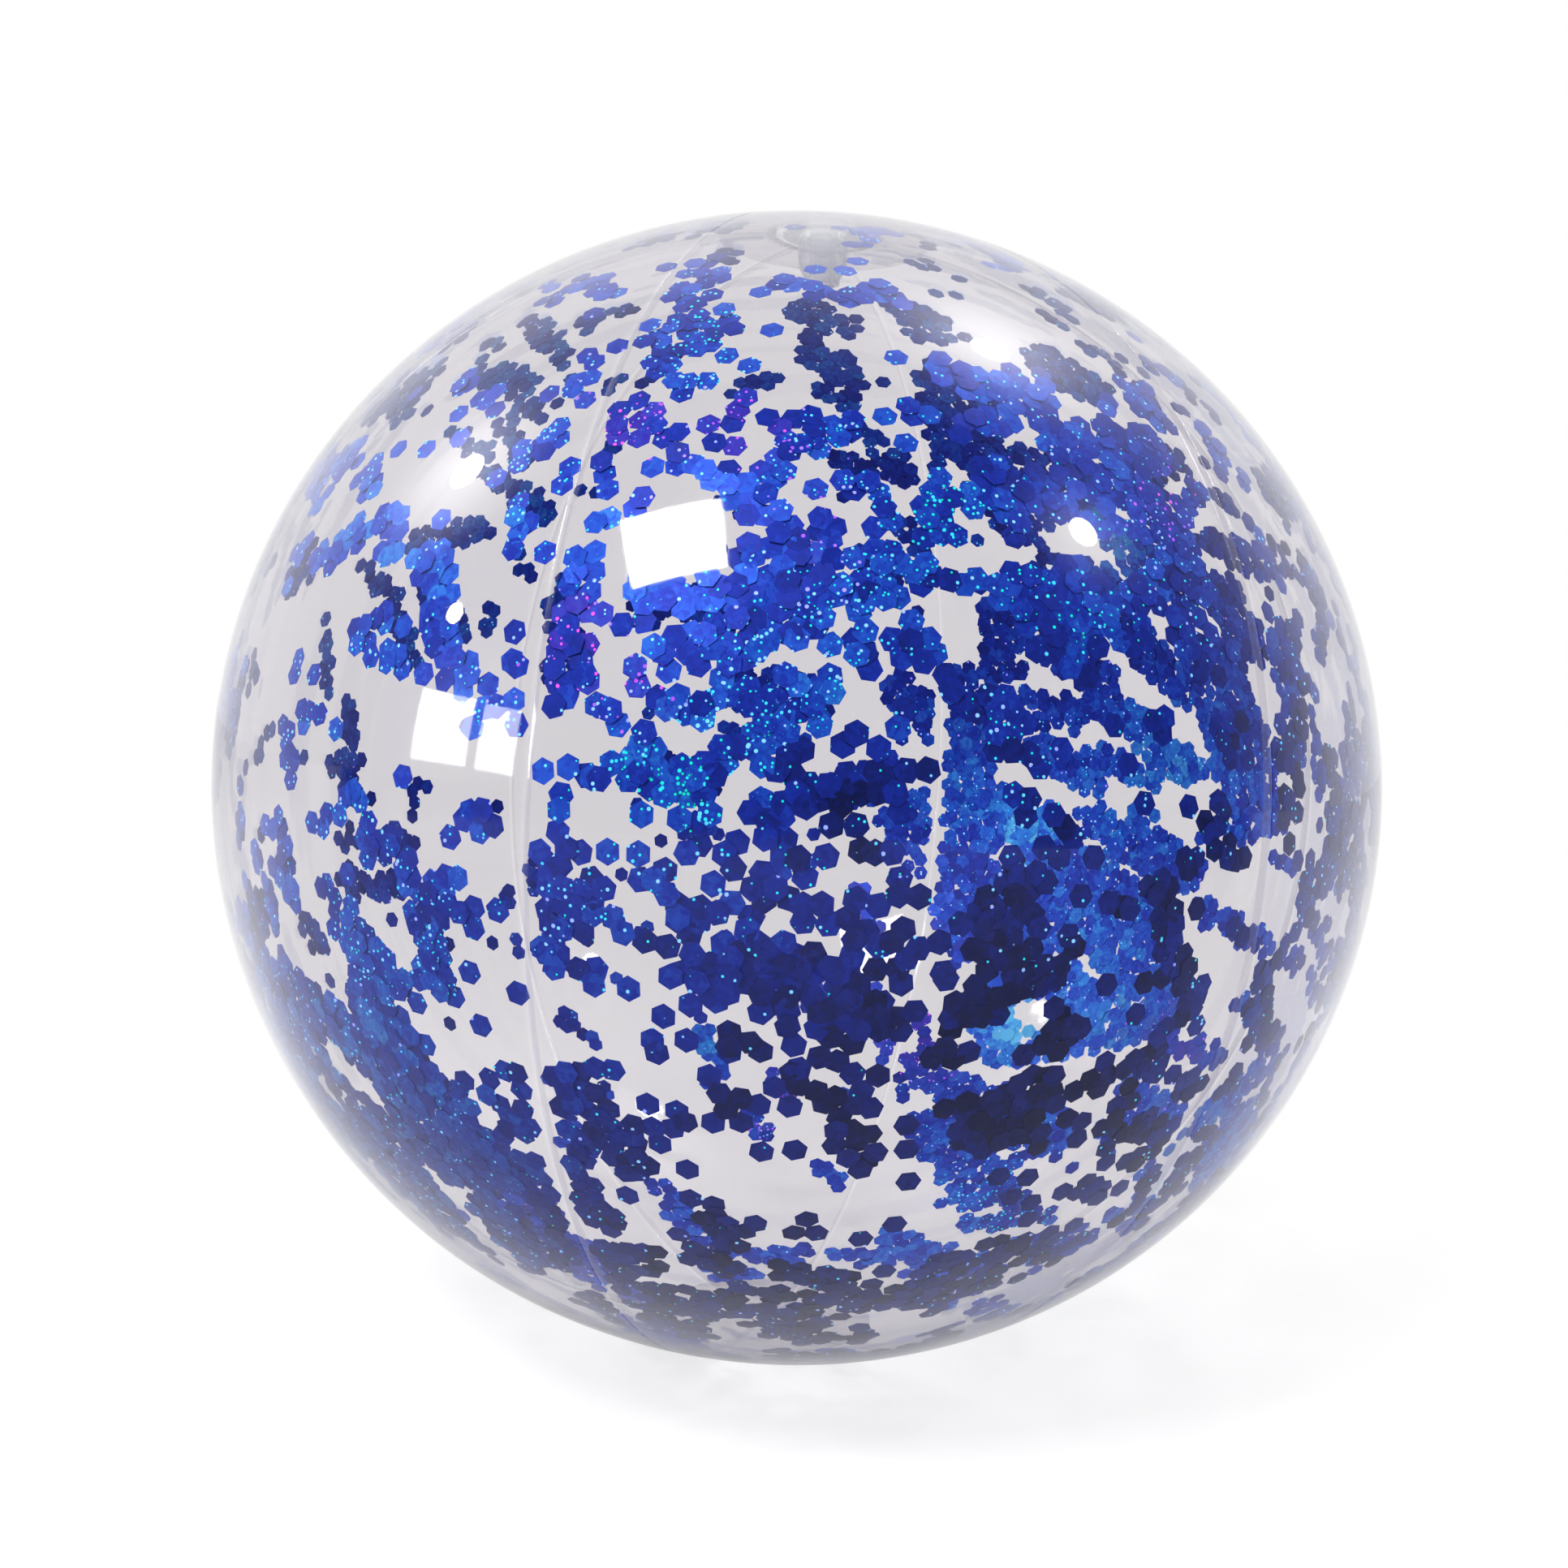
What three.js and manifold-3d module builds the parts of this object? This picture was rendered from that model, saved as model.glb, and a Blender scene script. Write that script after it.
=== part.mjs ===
// Clear inflatable beach ball with loose foil flakes inside. Millimetres, +Z up, front towards -Y.
// Six film gores meet along inward weld fins, and a film disc closes their tips at each pole.
// The push-in valve sits in the top disc. The ball rests on the flat that its weight presses into
// the bottom disc, and the origin is the middle of that flat.
import * as THREE from "three";
import { mergeVertices } from "three/addons/utils/BufferGeometryUtils.js";
import Module from "manifold-3d";

const wasm = await Module();
wasm.setup();

// Ball
const ballDiameter = 300;
const ballHeight = 296;
const goreCount = 6;
const frontSeamDegrees = -19.76; // from the front (-Y) towards +X
const restDiameter = 34;

// Film and seams
const filmThickness = 0.25;
const finHeight = 2;

// Pole discs, and the openings that the gore tips leave under them
const discDiameter = 56;
const discThickness = 0.3;
const topTipDiameter = 26;
const bottomTipDiameter = 8;

// Valve flange and its collar
const flangeDiameter = 22;
const flangeThickness = 0.7;
const collarBore = 12;
const collarWall = 0.7;
const collarDepth = 7;

// Valve stem
const stemDiameter = 7;
const stemBore = 5;
const stemLength = 12;
const lipDiameter = 9.4;
const lipHeight = 1.6;
const lipEase = 0.5;
const footDiameter = 8;
const footHeight = 1.2;

// Rolling web between collar and stem
const webThickness = 0.4;
const webFullness = 0.55;

// Plug
const plugHeadDiameter = 7.6;
const plugHeadHeight = 1.4;
const plugDishDepth = 0.4;
const plugRimWidth = 0.9;
const plugShankLength = 5;
const plugTaper = 0.25;
const plugBeadHeight = 0.1;
const plugBeadLength = 1;

// Tether between plug and stem
const tetherWidth = 2.4;
const tetherThickness = 0.6;
const tetherDrop = 1.6;
const tetherCorner = 0.8;

// Check flap at the stem's inner end
const flapThickness = 0.5;
const flapOverlap = 0.8;
const flapTongueWidth = 2.6;

// Foil flakes, and the drifts they gather in
const flakeAcrossFlats = 4.1;
const flakeThickness = 0.15;
const flakePitch = 3.4;
const flakesPerDrift = 7;
const driftRows = 4;
const lowestDriftDegrees = -58;
const highestDriftDegrees = 46;
const driftScatterDegrees = 7;

// Clearances
const weldGap = 0.3;
const seatGap = 0.3;

// Facets
const facetsPerGore = 7;
const ballRows = 20;
const discRows = 2;
const discFacets = 32;
const valveFacets = 20;
const webRows = 4;
const bendRows = 4;

// Values worked out from the sizes above
const goreAngle = (2 * Math.PI) / goreCount;
const ballFacets = goreCount * facetsPerGore;
const equatorRadius = ballDiameter / 2;
const poleRadius = ballHeight / 2;
const restRadius = restDiameter / 2;
const discLift = weldGap + discThickness;
const restAngle = -ellipseAngle(restRadius);
const centreHeight = discLift - poleRadius * Math.sin(restAngle);
const topTipAngle = ellipseAngle(topTipDiameter / 2);
const goldenShare = (Math.sqrt(5) - 1) / 2;

const finishes = {
  film: { color: 0xe8eaf0, roughness: 0.06, metalness: 0, transparent: true, opacity: 0.25 },
  valve: { color: 0xdfe4ec, roughness: 0.25, metalness: 0, transparent: true, opacity: 0.6 },
  foil: { color: 0x1a35b0, roughness: 0.3, metalness: 0.6 },
};

function namedMesh(name, geometry, finish) {
  const mesh = new THREE.Mesh(geometry, new THREE.MeshStandardMaterial(finishes[finish]));
  mesh.name = name;
  return mesh;
}

// Closed geometry and booleans

function cornerIndices(geometry) {
  const index = Array.from(geometry.index.array);
  return Array.from({ length: index.length / 3 }, (_, i) => index.slice(3 * i, 3 * i + 3));
}

function signedVolume(geometry) {
  const places = geometry.attributes.position;
  const corner = (i) => new THREE.Vector3().fromBufferAttribute(places, i);
  const volumes = cornerIndices(geometry).map(([a, b, c]) => corner(a).dot(corner(b).cross(corner(c))) / 6);
  return volumes.reduce((sum, volume) => sum + volume, 0);
}

// Keeps the positions alone, joins equal corners, drops empty faces and turns the rest outwards
function closed(geometry) {
  geometry.deleteAttribute("normal");
  geometry.deleteAttribute("uv");
  const merged = mergeVertices(geometry);
  const faces = cornerIndices(merged).filter(([a, b, c]) => a !== b && b !== c && c !== a);
  merged.setIndex(faces.flat());
  if (signedVolume(merged) < 0) {
    merged.setIndex(faces.flat().reverse());
  }
  return merged;
}

function solidOf(geometry) {
  const shape = closed(geometry);
  const vertProperties = new Float32Array(shape.attributes.position.array);
  const triVerts = new Uint32Array(shape.index.array);
  return new wasm.Manifold(new wasm.Mesh({ numProp: 3, vertProperties, triVerts }));
}

function geometryOf(solid) {
  const mesh = solid.getMesh();
  const geometry = new THREE.BufferGeometry();
  geometry.setAttribute("position", new THREE.BufferAttribute(mesh.vertProperties, 3));
  geometry.setIndex(new THREE.BufferAttribute(mesh.triVerts, 1));
  return geometry;
}

// Profiles of (radius, height) points

function point(radius, height) {
  return new THREE.Vector2(radius, height);
}

function ring(points) {
  return [...points, points[0]];
}

// Turns a profile about +Z, with a facet edge at startAngle from the front towards +X
function revolve(profile, facets, startAngle = 0) {
  const lathe = new THREE.LatheGeometry(profile, facets, startAngle);
  lathe.rotateX(Math.PI / 2);
  return closed(lathe);
}

function extrude(outline, depth) {
  const shape = new THREE.Shape(outline);
  return new THREE.ExtrudeGeometry(shape, { depth, bevelEnabled: false });
}

function offset(stations, distance) {
  return stations.map(({ place, outward }) => place.clone().addScaledVector(outward, distance));
}

// The outline between two offsets of the same stations
function skin(stations, outer, inner) {
  return [...offset(stations, outer), ...offset(stations, inner).reverse()];
}

// The ball's meridian: places on the gores' outer face, each with its outward direction

function ellipseAngle(radius) {
  return Math.acos(radius / equatorRadius);
}

function ellipseStation(angle) {
  const place = point(equatorRadius * Math.cos(angle), centreHeight + poleRadius * Math.sin(angle));
  const outward = point(Math.cos(angle) / equatorRadius, Math.sin(angle) / poleRadius).normalize();
  return { place, outward };
}

function ellipseStations(fromAngle, toAngle, rows) {
  const shares = Array.from({ length: rows }, (_, row) => (row + 1) / rows);
  return shares.map((share) => ellipseStation(THREE.MathUtils.lerp(fromAngle, toAngle, share)));
}

function floorStation(radius) {
  return { place: point(radius, discLift), outward: point(0, -1) };
}

// The edge of the resting flat faces half way between the flat and the curve above it
function restEdgeStation() {
  const { place, outward } = ellipseStation(restAngle);
  return { place, outward: outward.add(point(0, -1)).normalize() };
}

// Gores

// A wedge of one gore's angle about the front, drawn in from both seam planes
function goreWedge(inset) {
  const half = goreAngle / 2;
  const reach = 2 * ballDiameter;
  const apex = point(0, -inset / Math.sin(half));
  const right = apex.clone().add(point(reach * Math.sin(half), -reach * Math.cos(half)));
  const left = point(-right.x, right.y);
  const wedge = extrude([apex, left, right], 2 * ballHeight);
  wedge.translate(0, 0, -ballHeight / 2);
  return solidOf(wedge);
}

// A thick gore is hollowed to the film's thickness, which leaves a weld fin along each edge
function makeGore() {
  const rows = ellipseStations(restAngle, topTipAngle, ballRows);
  const stations = [floorStation(bottomTipDiameter / 2), restEdgeStation(), ...rows];
  const inside = offset(stations, -filmThickness);
  const axisPoints = [inside[0], inside.at(-1)].map((end) => point(0, end.y));
  const blank = solidOf(revolve(ring(skin(stations, 0, -finHeight)), ballFacets, goreAngle / 2));
  const core = solidOf(revolve([axisPoints[0], ...inside, axisPoints[1]], ballFacets, goreAngle / 2));
  const outerWedge = goreWedge(weldGap / 2);
  const innerWedge = goreWedge(weldGap / 2 + filmThickness);
  return geometryOf(blank.intersect(outerWedge).subtract(core.intersect(innerWedge)));
}

// Pole discs

function makeTopDisc() {
  const hole = ellipseAngle(collarBore / 2);
  const rim = ellipseAngle(discDiameter / 2);
  const stations = [ellipseStation(hole), ...ellipseStations(hole, rim, discRows)];
  return revolve(ring(skin(stations, discLift, weldGap)), discFacets);
}

function makeBottomDisc() {
  const rim = -ellipseAngle(discDiameter / 2);
  const stations = [floorStation(0), restEdgeStation(), ...ellipseStations(restAngle, rim, discRows)];
  return revolve(skin(stations, discLift, weldGap), discFacets);
}

// Valve levels, counted down from the top disc's outer face at its hole

const mouthStation = ellipseStation(ellipseAngle(collarBore / 2));
const valveTop = offset([mouthStation], discLift)[0].y;
const headFloor = valveTop - plugHeadHeight;
const stemTop = headFloor - seatGap;
const lipFloor = stemTop - lipHeight;
const stemFoot = stemTop - stemLength;
const collarFoot = valveTop - collarDepth;

function makeFlange() {
  const rimStation = ellipseStation(ellipseAngle(flangeDiameter / 2));
  const [bore, rim] = offset([mouthStation, rimStation], 0);
  const rimFloor = offset([rimStation], -flangeThickness)[0];
  const collarRadius = bore.x + collarWall;
  const profile = [
    bore,
    rim,
    rimFloor,
    point(collarRadius, rimFloor.y),
    point(collarRadius, collarFoot),
    point(bore.x, collarFoot),
  ];
  return revolve(ring(profile), valveFacets);
}

// The stem's tube has a bite lip at its mouth, and at its foot a bead that carries the web
function makeStem() {
  const bore = stemBore / 2;
  const tube = stemDiameter / 2;
  const lip = lipDiameter / 2;
  const foot = footDiameter / 2;
  const profile = [
    point(bore, stemFoot),
    point(foot, stemFoot),
    point(foot, stemFoot + footHeight),
    point(tube, stemFoot + footHeight + lipEase),
    point(tube, lipFloor),
    point(lip, lipFloor),
    point(lip, stemTop - lipEase),
    point(lip - lipEase, stemTop),
    point(bore, stemTop),
  ];
  return revolve(ring(profile), valveFacets);
}

// Places along a curve of (radius, height) points, facing to the left of the way it runs
function curveStations(curve, rows) {
  const shares = Array.from({ length: rows + 1 }, (_, row) => row / rows);
  return shares.map((share) => {
    const along = curve.getTangent(share);
    return { place: curve.getPoint(share), outward: point(-along.y, along.x) };
  });
}

// The web hangs from the collar's foot as a soft sleeve and draws in to the stem's foot
function makeWeb() {
  const hang = collarBore / 2 + collarWall / 2;
  const grip = footDiameter / 2 + seatGap + webThickness / 2;
  const top = collarFoot - seatGap;
  const middle = THREE.MathUtils.lerp(top, stemFoot, webFullness);
  const start = point(hang, top);
  const end = point(grip, stemFoot);
  const line = new THREE.CubicBezierCurve(start, point(hang, middle), point(grip, middle), end);
  const stations = curveStations(line, webRows);
  return revolve(ring(skin(stations, webThickness / 2, -webThickness / 2)), valveFacets);
}

function makePlug() {
  const shank = stemBore / 2 - seatGap;
  const shankFoot = headFloor - plugShankLength;
  const head = plugHeadDiameter / 2;
  const dish = head - plugRimWidth;
  const beadLevel = (headFloor + shankFoot) / 2;
  const profile = [
    point(0, shankFoot),
    point(shank - plugTaper, shankFoot),
    point(shank, beadLevel - plugBeadLength / 2),
    point(shank + plugBeadHeight, beadLevel),
    point(shank, beadLevel + plugBeadLength / 2),
    point(shank, headFloor),
    point(head, headFloor),
    point(head, valveTop - plugDishDepth),
    point(head - plugDishDepth, valveTop),
    point(dish, valveTop),
    point(dish - plugDishDepth, valveTop - plugDishDepth),
    point(0, valveTop - plugDishDepth),
  ];
  return revolve(profile, valveFacets);
}

// The tether leaves the plug's head, folds down beside the lip and turns up to its root under the lip
function makeTether() {
  const headSide = plugHeadDiameter / 2 + seatGap;
  const innerRun = stemDiameter / 2 + seatGap + tetherThickness / 2;
  const outerRun = lipDiameter / 2 + seatGap + tetherThickness / 2;
  const level = (valveTop + headFloor) / 2;
  const turn = lipFloor - tetherDrop;
  const turnRadius = (outerRun - innerRun) / 2;
  const corner = new THREE.QuadraticBezierCurve(
    point(outerRun - tetherCorner, level),
    point(outerRun, level),
    point(outerRun, level - tetherCorner),
  );
  const fold = new THREE.EllipseCurve(
    innerRun + turnRadius, turn, turnRadius, turnRadius, 0, -Math.PI, true,
  );
  const stations = [
    { place: point(headSide, level), outward: point(0, 1) },
    ...curveStations(corner, bendRows),
    ...curveStations(fold, 2 * bendRows),
    { place: point(innerRun, lipFloor - seatGap), outward: point(-1, 0) },
  ];
  const strap = extrude(skin(stations, tetherThickness / 2, -tetherThickness / 2), tetherWidth);
  strap.translate(0, 0, -tetherWidth / 2);
  strap.rotateX(Math.PI / 2);
  return closed(strap);
}

// A round flap with a tongue to its hinge at the rim of the stem's foot
function makeFlap() {
  const radius = stemBore / 2 + flapOverlap;
  const hinge = footDiameter / 2;
  const halfTongue = flapTongueWidth / 2;
  const rootAngle = Math.asin(halfTongue / radius);
  const outline = new THREE.Shape();
  outline.moveTo(-hinge, -halfTongue);
  outline.absarc(0, 0, radius, -Math.PI + rootAngle, Math.PI - rootAngle, false);
  outline.lineTo(-hinge, halfTongue);
  const flap = new THREE.ExtrudeGeometry(outline, {
    depth: flapThickness,
    bevelEnabled: false,
    curveSegments: valveFacets,
  });
  flap.translate(0, 0, stemFoot - seatGap - flapThickness);
  return closed(flap);
}

// Foil flakes

// Evenly mixed shares of a whole, so that no two drifts or flakes lie alike
function mixedShare(serial) {
  return (serial * goldenShare) % 1;
}

function makeFlake(spot, turn) {
  const corner = point(flakeAcrossFlats / Math.sqrt(3), 0);
  const sides = Array.from({ length: 6 }, (_, side) => (Math.PI / 3) * side + turn);
  const outline = sides.map((angle) => corner.clone().rotateAround(point(0, 0), angle).add(spot));
  const flake = extrude(outline, flakeThickness);
  flake.translate(0, 0, -flakeThickness);
  return solidOf(flake);
}

// A drift is a clump of flakes that lap over their neighbours and lie in one plane, outer face up
function makeDrift(serial) {
  const spots = [point(0, 0)];
  for (let i = 1; i < flakesPerDrift; i += 1) {
    const carrier = spots[Math.floor(mixedShare(serial * i) * i)];
    const angle = 2 * Math.PI * mixedShare(serial + i * i);
    spots.push(carrier.clone().add(point(flakePitch * Math.cos(angle), flakePitch * Math.sin(angle))));
  }
  const middle = spots.reduce((sum, spot) => sum.add(spot), point(0, 0)).divideScalar(spots.length);
  const placed = spots.map((spot) => spot.clone().sub(middle));
  const flakes = placed.map((spot, i) => makeFlake(spot, (Math.PI / 3) * mixedShare(serial + i)));
  const clump = flakes.reduce((joined, flake) => joined.add(flake));
  const reach = Math.max(...placed.map((spot) => spot.length())) + flakeAcrossFlats / Math.sqrt(3);
  return { geometry: geometryOf(clump), reach };
}

// The drift's plane clears the wall's facets under its rim, and its rim clears the weld fins
function driftOnWall(name, serial, levelShare) {
  const { geometry, reach } = makeDrift(serial);
  const level = THREE.MathUtils.lerp(lowestDriftDegrees, highestDriftDegrees, levelShare);
  const scatter = driftScatterDegrees * (2 * mixedShare(serial) - 1);
  const station = ellipseStation(THREE.MathUtils.degToRad(level + scatter));
  const tightest = Math.min(poleRadius ** 2 / equatorRadius, equatorRadius ** 2 / poleRadius);
  const rowAngle = (topTipAngle - restAngle) / ballRows;
  const facetSag = equatorRadius * (1 - Math.cos(Math.PI / ballFacets)) +
    poleRadius * (1 - Math.cos(rowAngle / 2));
  const depth = filmThickness + seatGap + facetSag + reach ** 2 / (2 * tightest);
  const seat = offset([station], -depth)[0];
  const finReach = weldGap / 2 + filmThickness + seatGap + reach;
  const spare = goreAngle / 2 - Math.asin(finReach / seat.x);
  const drift = namedMesh(name, geometry, "foil");
  drift.position.set(0, -seat.x, seat.y);
  drift.rotation.x = Math.atan2(station.outward.x, station.outward.y);
  const turned = new THREE.Group();
  turned.rotation.z = spare * (2 * mixedShare(2 * serial + 1) - 1);
  turned.add(drift);
  return turned;
}

// Assembly

const ball = new THREE.Group();

const goreGeometry = makeGore();
for (let gore = 0; gore < goreCount; gore += 1) {
  const panel = new THREE.Group();
  panel.rotation.z = THREE.MathUtils.degToRad(frontSeamDegrees) + goreAngle * (gore + 0.5);
  panel.add(namedMesh(`gore_${gore + 1}`, goreGeometry, "film"));
  for (let row = 0; row < driftRows; row += 1) {
    const serial = gore * driftRows + row + 1;
    panel.add(driftOnWall(`glitter_${gore + 1}_${row + 1}`, serial, row / (driftRows - 1)));
  }
  ball.add(panel);
}

ball.add(namedMesh("top_pole_disc", makeTopDisc(), "film"));
ball.add(namedMesh("bottom_pole_disc", makeBottomDisc(), "film"));

const valve = new THREE.Group();
valve.add(namedMesh("valve_flange", makeFlange(), "valve"));
valve.add(namedMesh("valve_web", makeWeb(), "valve"));
valve.add(namedMesh("valve_stem", makeStem(), "valve"));
valve.add(namedMesh("valve_plug", makePlug(), "valve"));
valve.add(namedMesh("plug_tether", makeTether(), "valve"));
valve.add(namedMesh("check_flap", makeFlap(), "valve"));
ball.add(valve);

export default ball;
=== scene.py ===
import math
import bpy
import numpy as np
from mathutils import Matrix, Vector, noise


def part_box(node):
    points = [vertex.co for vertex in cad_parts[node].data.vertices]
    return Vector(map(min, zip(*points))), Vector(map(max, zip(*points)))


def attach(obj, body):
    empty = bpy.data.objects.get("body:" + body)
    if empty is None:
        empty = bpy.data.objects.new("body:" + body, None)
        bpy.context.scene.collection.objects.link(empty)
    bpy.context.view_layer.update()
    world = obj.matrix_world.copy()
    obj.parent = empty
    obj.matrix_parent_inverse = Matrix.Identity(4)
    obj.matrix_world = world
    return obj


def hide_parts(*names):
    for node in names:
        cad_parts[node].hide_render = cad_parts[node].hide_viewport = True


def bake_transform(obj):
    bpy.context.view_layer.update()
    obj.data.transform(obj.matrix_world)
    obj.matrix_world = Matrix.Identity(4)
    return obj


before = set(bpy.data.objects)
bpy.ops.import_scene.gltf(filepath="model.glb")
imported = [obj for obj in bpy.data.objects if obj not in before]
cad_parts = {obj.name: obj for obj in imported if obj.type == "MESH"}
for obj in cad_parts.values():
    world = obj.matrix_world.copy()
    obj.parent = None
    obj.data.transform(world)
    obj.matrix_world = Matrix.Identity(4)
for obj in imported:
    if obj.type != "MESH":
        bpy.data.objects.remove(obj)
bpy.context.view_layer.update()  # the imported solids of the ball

scene = bpy.context.scene
mm = 0.001

ball = {
    "equatorRadius": 150 * mm,
    "poleRadius": 148 * mm,
    "goreCount": 6,
    "frontSeam": math.radians(-19.76),  # from the front towards +X
    "restRadius": 17 * mm,
    "floorLift": 0.6 * mm,  # the gores lie this far above the floor, on the bottom disc
    "restEase": 1.2 * mm,
}
ballCentre = np.array([0, 0, ball["floorLift"] + ball["poleRadius"] * math.sqrt(
    1 - (ball["restRadius"] / ball["equatorRadius"]) ** 2)])
goreAngle = 2 * math.pi / ball["goreCount"]


# Camera, fitted to the seams in the photograph

view = {
    "frame": 1932,  # pixels across the photograph
    "focal": 2074.6,  # in the same pixels
    "sensor": 36.0,
    "ballPixel": (980.0, 969.8),  # where the ball's middle shows
    "distance": 456.7 * mm,
    "leanRight": math.radians(2.98),  # of the polar axis, in the picture
    "leanNear": math.radians(2.83),
    "clipStart": 5 * mm,
}


def unit(vector):
    return np.asarray(vector, float) / np.linalg.norm(vector)


def cameraPose():
    middle = view["frame"] / 2
    right, near = view["leanRight"], view["leanNear"]
    up = np.array([math.sin(right) * math.cos(near), -math.cos(right) * math.cos(near), -math.sin(near)])
    px, py = view["ballPixel"]
    sight = unit([(px - middle) / view["focal"], (py - middle) / view["focal"], 1])
    front = unit(-sight - up * np.dot(-sight, up))
    turn = np.array([np.cross(-front, up), -front, up])  # camera axes (right, down, away) to the frame's
    return ballCentre - turn @ (sight * view["distance"]), turn


cameraPlace, cameraTurn = cameraPose()


def toPixels(points):
    seen = (np.asarray(points) - cameraPlace) @ cameraTurn
    return view["frame"] / 2 + view["focal"] * seen[:, :2] / seen[:, 2:]


def sightLine(x, y):
    middle = view["frame"] / 2
    return cameraTurn @ unit([(x - middle) / view["focal"], (y - middle) / view["focal"], 1])


# Where a pixel's sight line meets the ball, on its near or its far wall
def wallSpot(x, y, far=False):
    squash = np.array([1, 1, ball["equatorRadius"] / ball["poleRadius"]])
    start, way = (cameraPlace - ballCentre) * squash, sightLine(x, y) * squash
    a, b = way @ way, start @ way
    c = start @ start - ball["equatorRadius"] ** 2
    root = math.sqrt(max(b * b - a * c, 0))
    return cameraPlace + sightLine(x, y) * ((-b + root if far else -b - root) / a)


def outwardAt(points):
    scale = np.array([ball["equatorRadius"], ball["equatorRadius"], ball["poleRadius"]]) ** -2.0
    away = (np.asarray(points) - ballCentre) * scale
    return away / np.linalg.norm(away, axis=-1, keepdims=True)


def makeCamera():
    data = bpy.data.cameras.new("photoCamera")
    data.sensor_width = view["sensor"]
    data.lens = view["focal"] / view["frame"] * view["sensor"]
    data.clip_start = view["clipStart"]
    camera = bpy.data.objects.new("photoCamera", data)
    axes = Matrix(np.column_stack([cameraTurn[:, 0], -cameraTurn[:, 1], -cameraTurn[:, 2]]).tolist())
    camera.matrix_world = Matrix.Translation(cameraPlace.tolist()) @ axes.to_4x4()
    scene.collection.objects.link(camera)
    scene.camera = camera


makeCamera()
print("camera placed")


# Node and mesh helpers

def put(tree, kind, inputs=None, **settings):
    node = tree.nodes.new(kind)
    for name, value in settings.items():
        setattr(node, name, value)
    for name, value in (inputs or {}).items():
        socket = node.inputs[name]
        if isinstance(value, bpy.types.NodeSocket):
            tree.links.new(value, socket)
        else:
            socket.default_value = value
    return node


def calc(tree, operation, a, b=0.0, c=0.0, clamp=False):
    return put(tree, "ShaderNodeMath", {0: a, 1: b, 2: c}, operation=operation, use_clamp=clamp).outputs[0]


def remap(tree, value, low, high, toLow=0.0, toHigh=1.0):
    inputs = {"Value": value, "From Min": low, "From Max": high, "To Min": toLow, "To Max": toHigh}
    return put(tree, "ShaderNodeMapRange", inputs, clamp=True).outputs[0]


def mixColours(tree, factor, a, b):
    return put(tree, "ShaderNodeMix", {0: factor, 6: a, 7: b}, data_type="RGBA").outputs[2]


def ramp(tree, factor, stops):
    node = put(tree, "ShaderNodeValToRGB", {"Fac": factor})
    elements = node.color_ramp.elements
    while len(elements) < len(stops):
        elements.new(0.5)
    for element, (place, colour) in zip(elements, stops):
        element.position = place
        element.color = (*colour, 1)
    return node.outputs["Color"]


def blankMaterial(name):
    material = bpy.data.materials.new(name)
    material.use_nodes = True
    material.node_tree.nodes.clear()
    return material, material.node_tree


def finishMaterial(tree, shader):
    put(tree, "ShaderNodeOutputMaterial", {"Surface": shader})


def meshObject(name, points, faces, material, smooth=True):
    mesh = bpy.data.meshes.new(name)
    mesh.from_pydata(np.asarray(points).tolist(), [], [list(map(int, face)) for face in faces])
    mesh.validate()
    mesh.calc_loop_triangles()
    corners = [mesh.vertices[i].co for triangle in mesh.loop_triangles for i in triangle.vertices]
    corners = np.array(corners).reshape(-1, 3, 3)
    volume = np.einsum("ij,ij->i", corners[:, 0], np.cross(corners[:, 1], corners[:, 2])).sum()
    if volume < 0:
        mesh.flip_normals()
    mesh.polygons.foreach_set("use_smooth", np.full(len(mesh.polygons), smooth))
    mesh.materials.append(material)
    piece = bpy.data.objects.new(name, mesh)
    scene.collection.objects.link(piece)
    return piece


def setAttribute(mesh, name, values):
    attribute = mesh.attributes.new(name, "FLOAT", "POINT")
    attribute.data.foreach_set("value", np.asarray(values, np.float32))


# Faces of a grid of points, rows by columns
def gridFaces(rows, columns, start=0, closeColumns=False):
    index = start + np.arange(rows * columns).reshape(rows, columns)
    if closeColumns:
        index = np.column_stack([index, index[:, :1]])
    return np.stack([index[:-1, :-1], index[:-1, 1:], index[1:, 1:], index[1:, :-1]], -1).reshape(-1, 4)


# A profile of (radius, height) points turned about +Z; a point on the axis becomes one pole
def turned(name, profile, segments, material, ring=True):
    points, rings = [], []
    for radius, height in profile:
        if radius < 1e-7:
            rings.append([len(points)] * segments)
            points.append((0, 0, height))
            continue
        angles = np.arange(segments) * 2 * math.pi / segments
        rings.append(list(range(len(points), len(points) + segments)))
        points.extend((radius * math.sin(a), -radius * math.cos(a), height) for a in angles)
    if ring:
        rings.append(rings[0])
    faces = []
    for lower, upper in zip(rings[:-1], rings[1:]):
        for i in range(segments):
            j = (i + 1) % segments
            corners = list(dict.fromkeys([lower[i], lower[j], upper[j], upper[i]]))
            if len(corners) > 2:
                faces.append(corners)
    return meshObject(name, points, faces, material)


easeShare = 0.45  # of a side, at most, goes into rounding one of its corners


# Rounds the corners of a closed outline, or of an open one between its ends
def eased(outline, radius, steps=4, closed=True):
    outline = [np.array(p, float) for p in outline]
    count, rounded = len(outline), []
    for i, corner in enumerate(outline):
        if not closed and i in (0, count - 1):
            rounded.append(corner)
            continue
        before, after = outline[i - 1] - corner, outline[(i + 1) % count] - corner
        reach = min(radius, easeShare * np.linalg.norm(before), easeShare * np.linalg.norm(after))
        start, end = corner + unit(before) * reach, corner + unit(after) * reach
        for step in range(steps + 1):
            t = step / steps
            rounded.append((1 - t) ** 2 * start + 2 * t * (1 - t) * corner + t * t * end)
    return rounded


# Faint clouds and fine unevenness of soft vinyl, for the film and the valve

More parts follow.
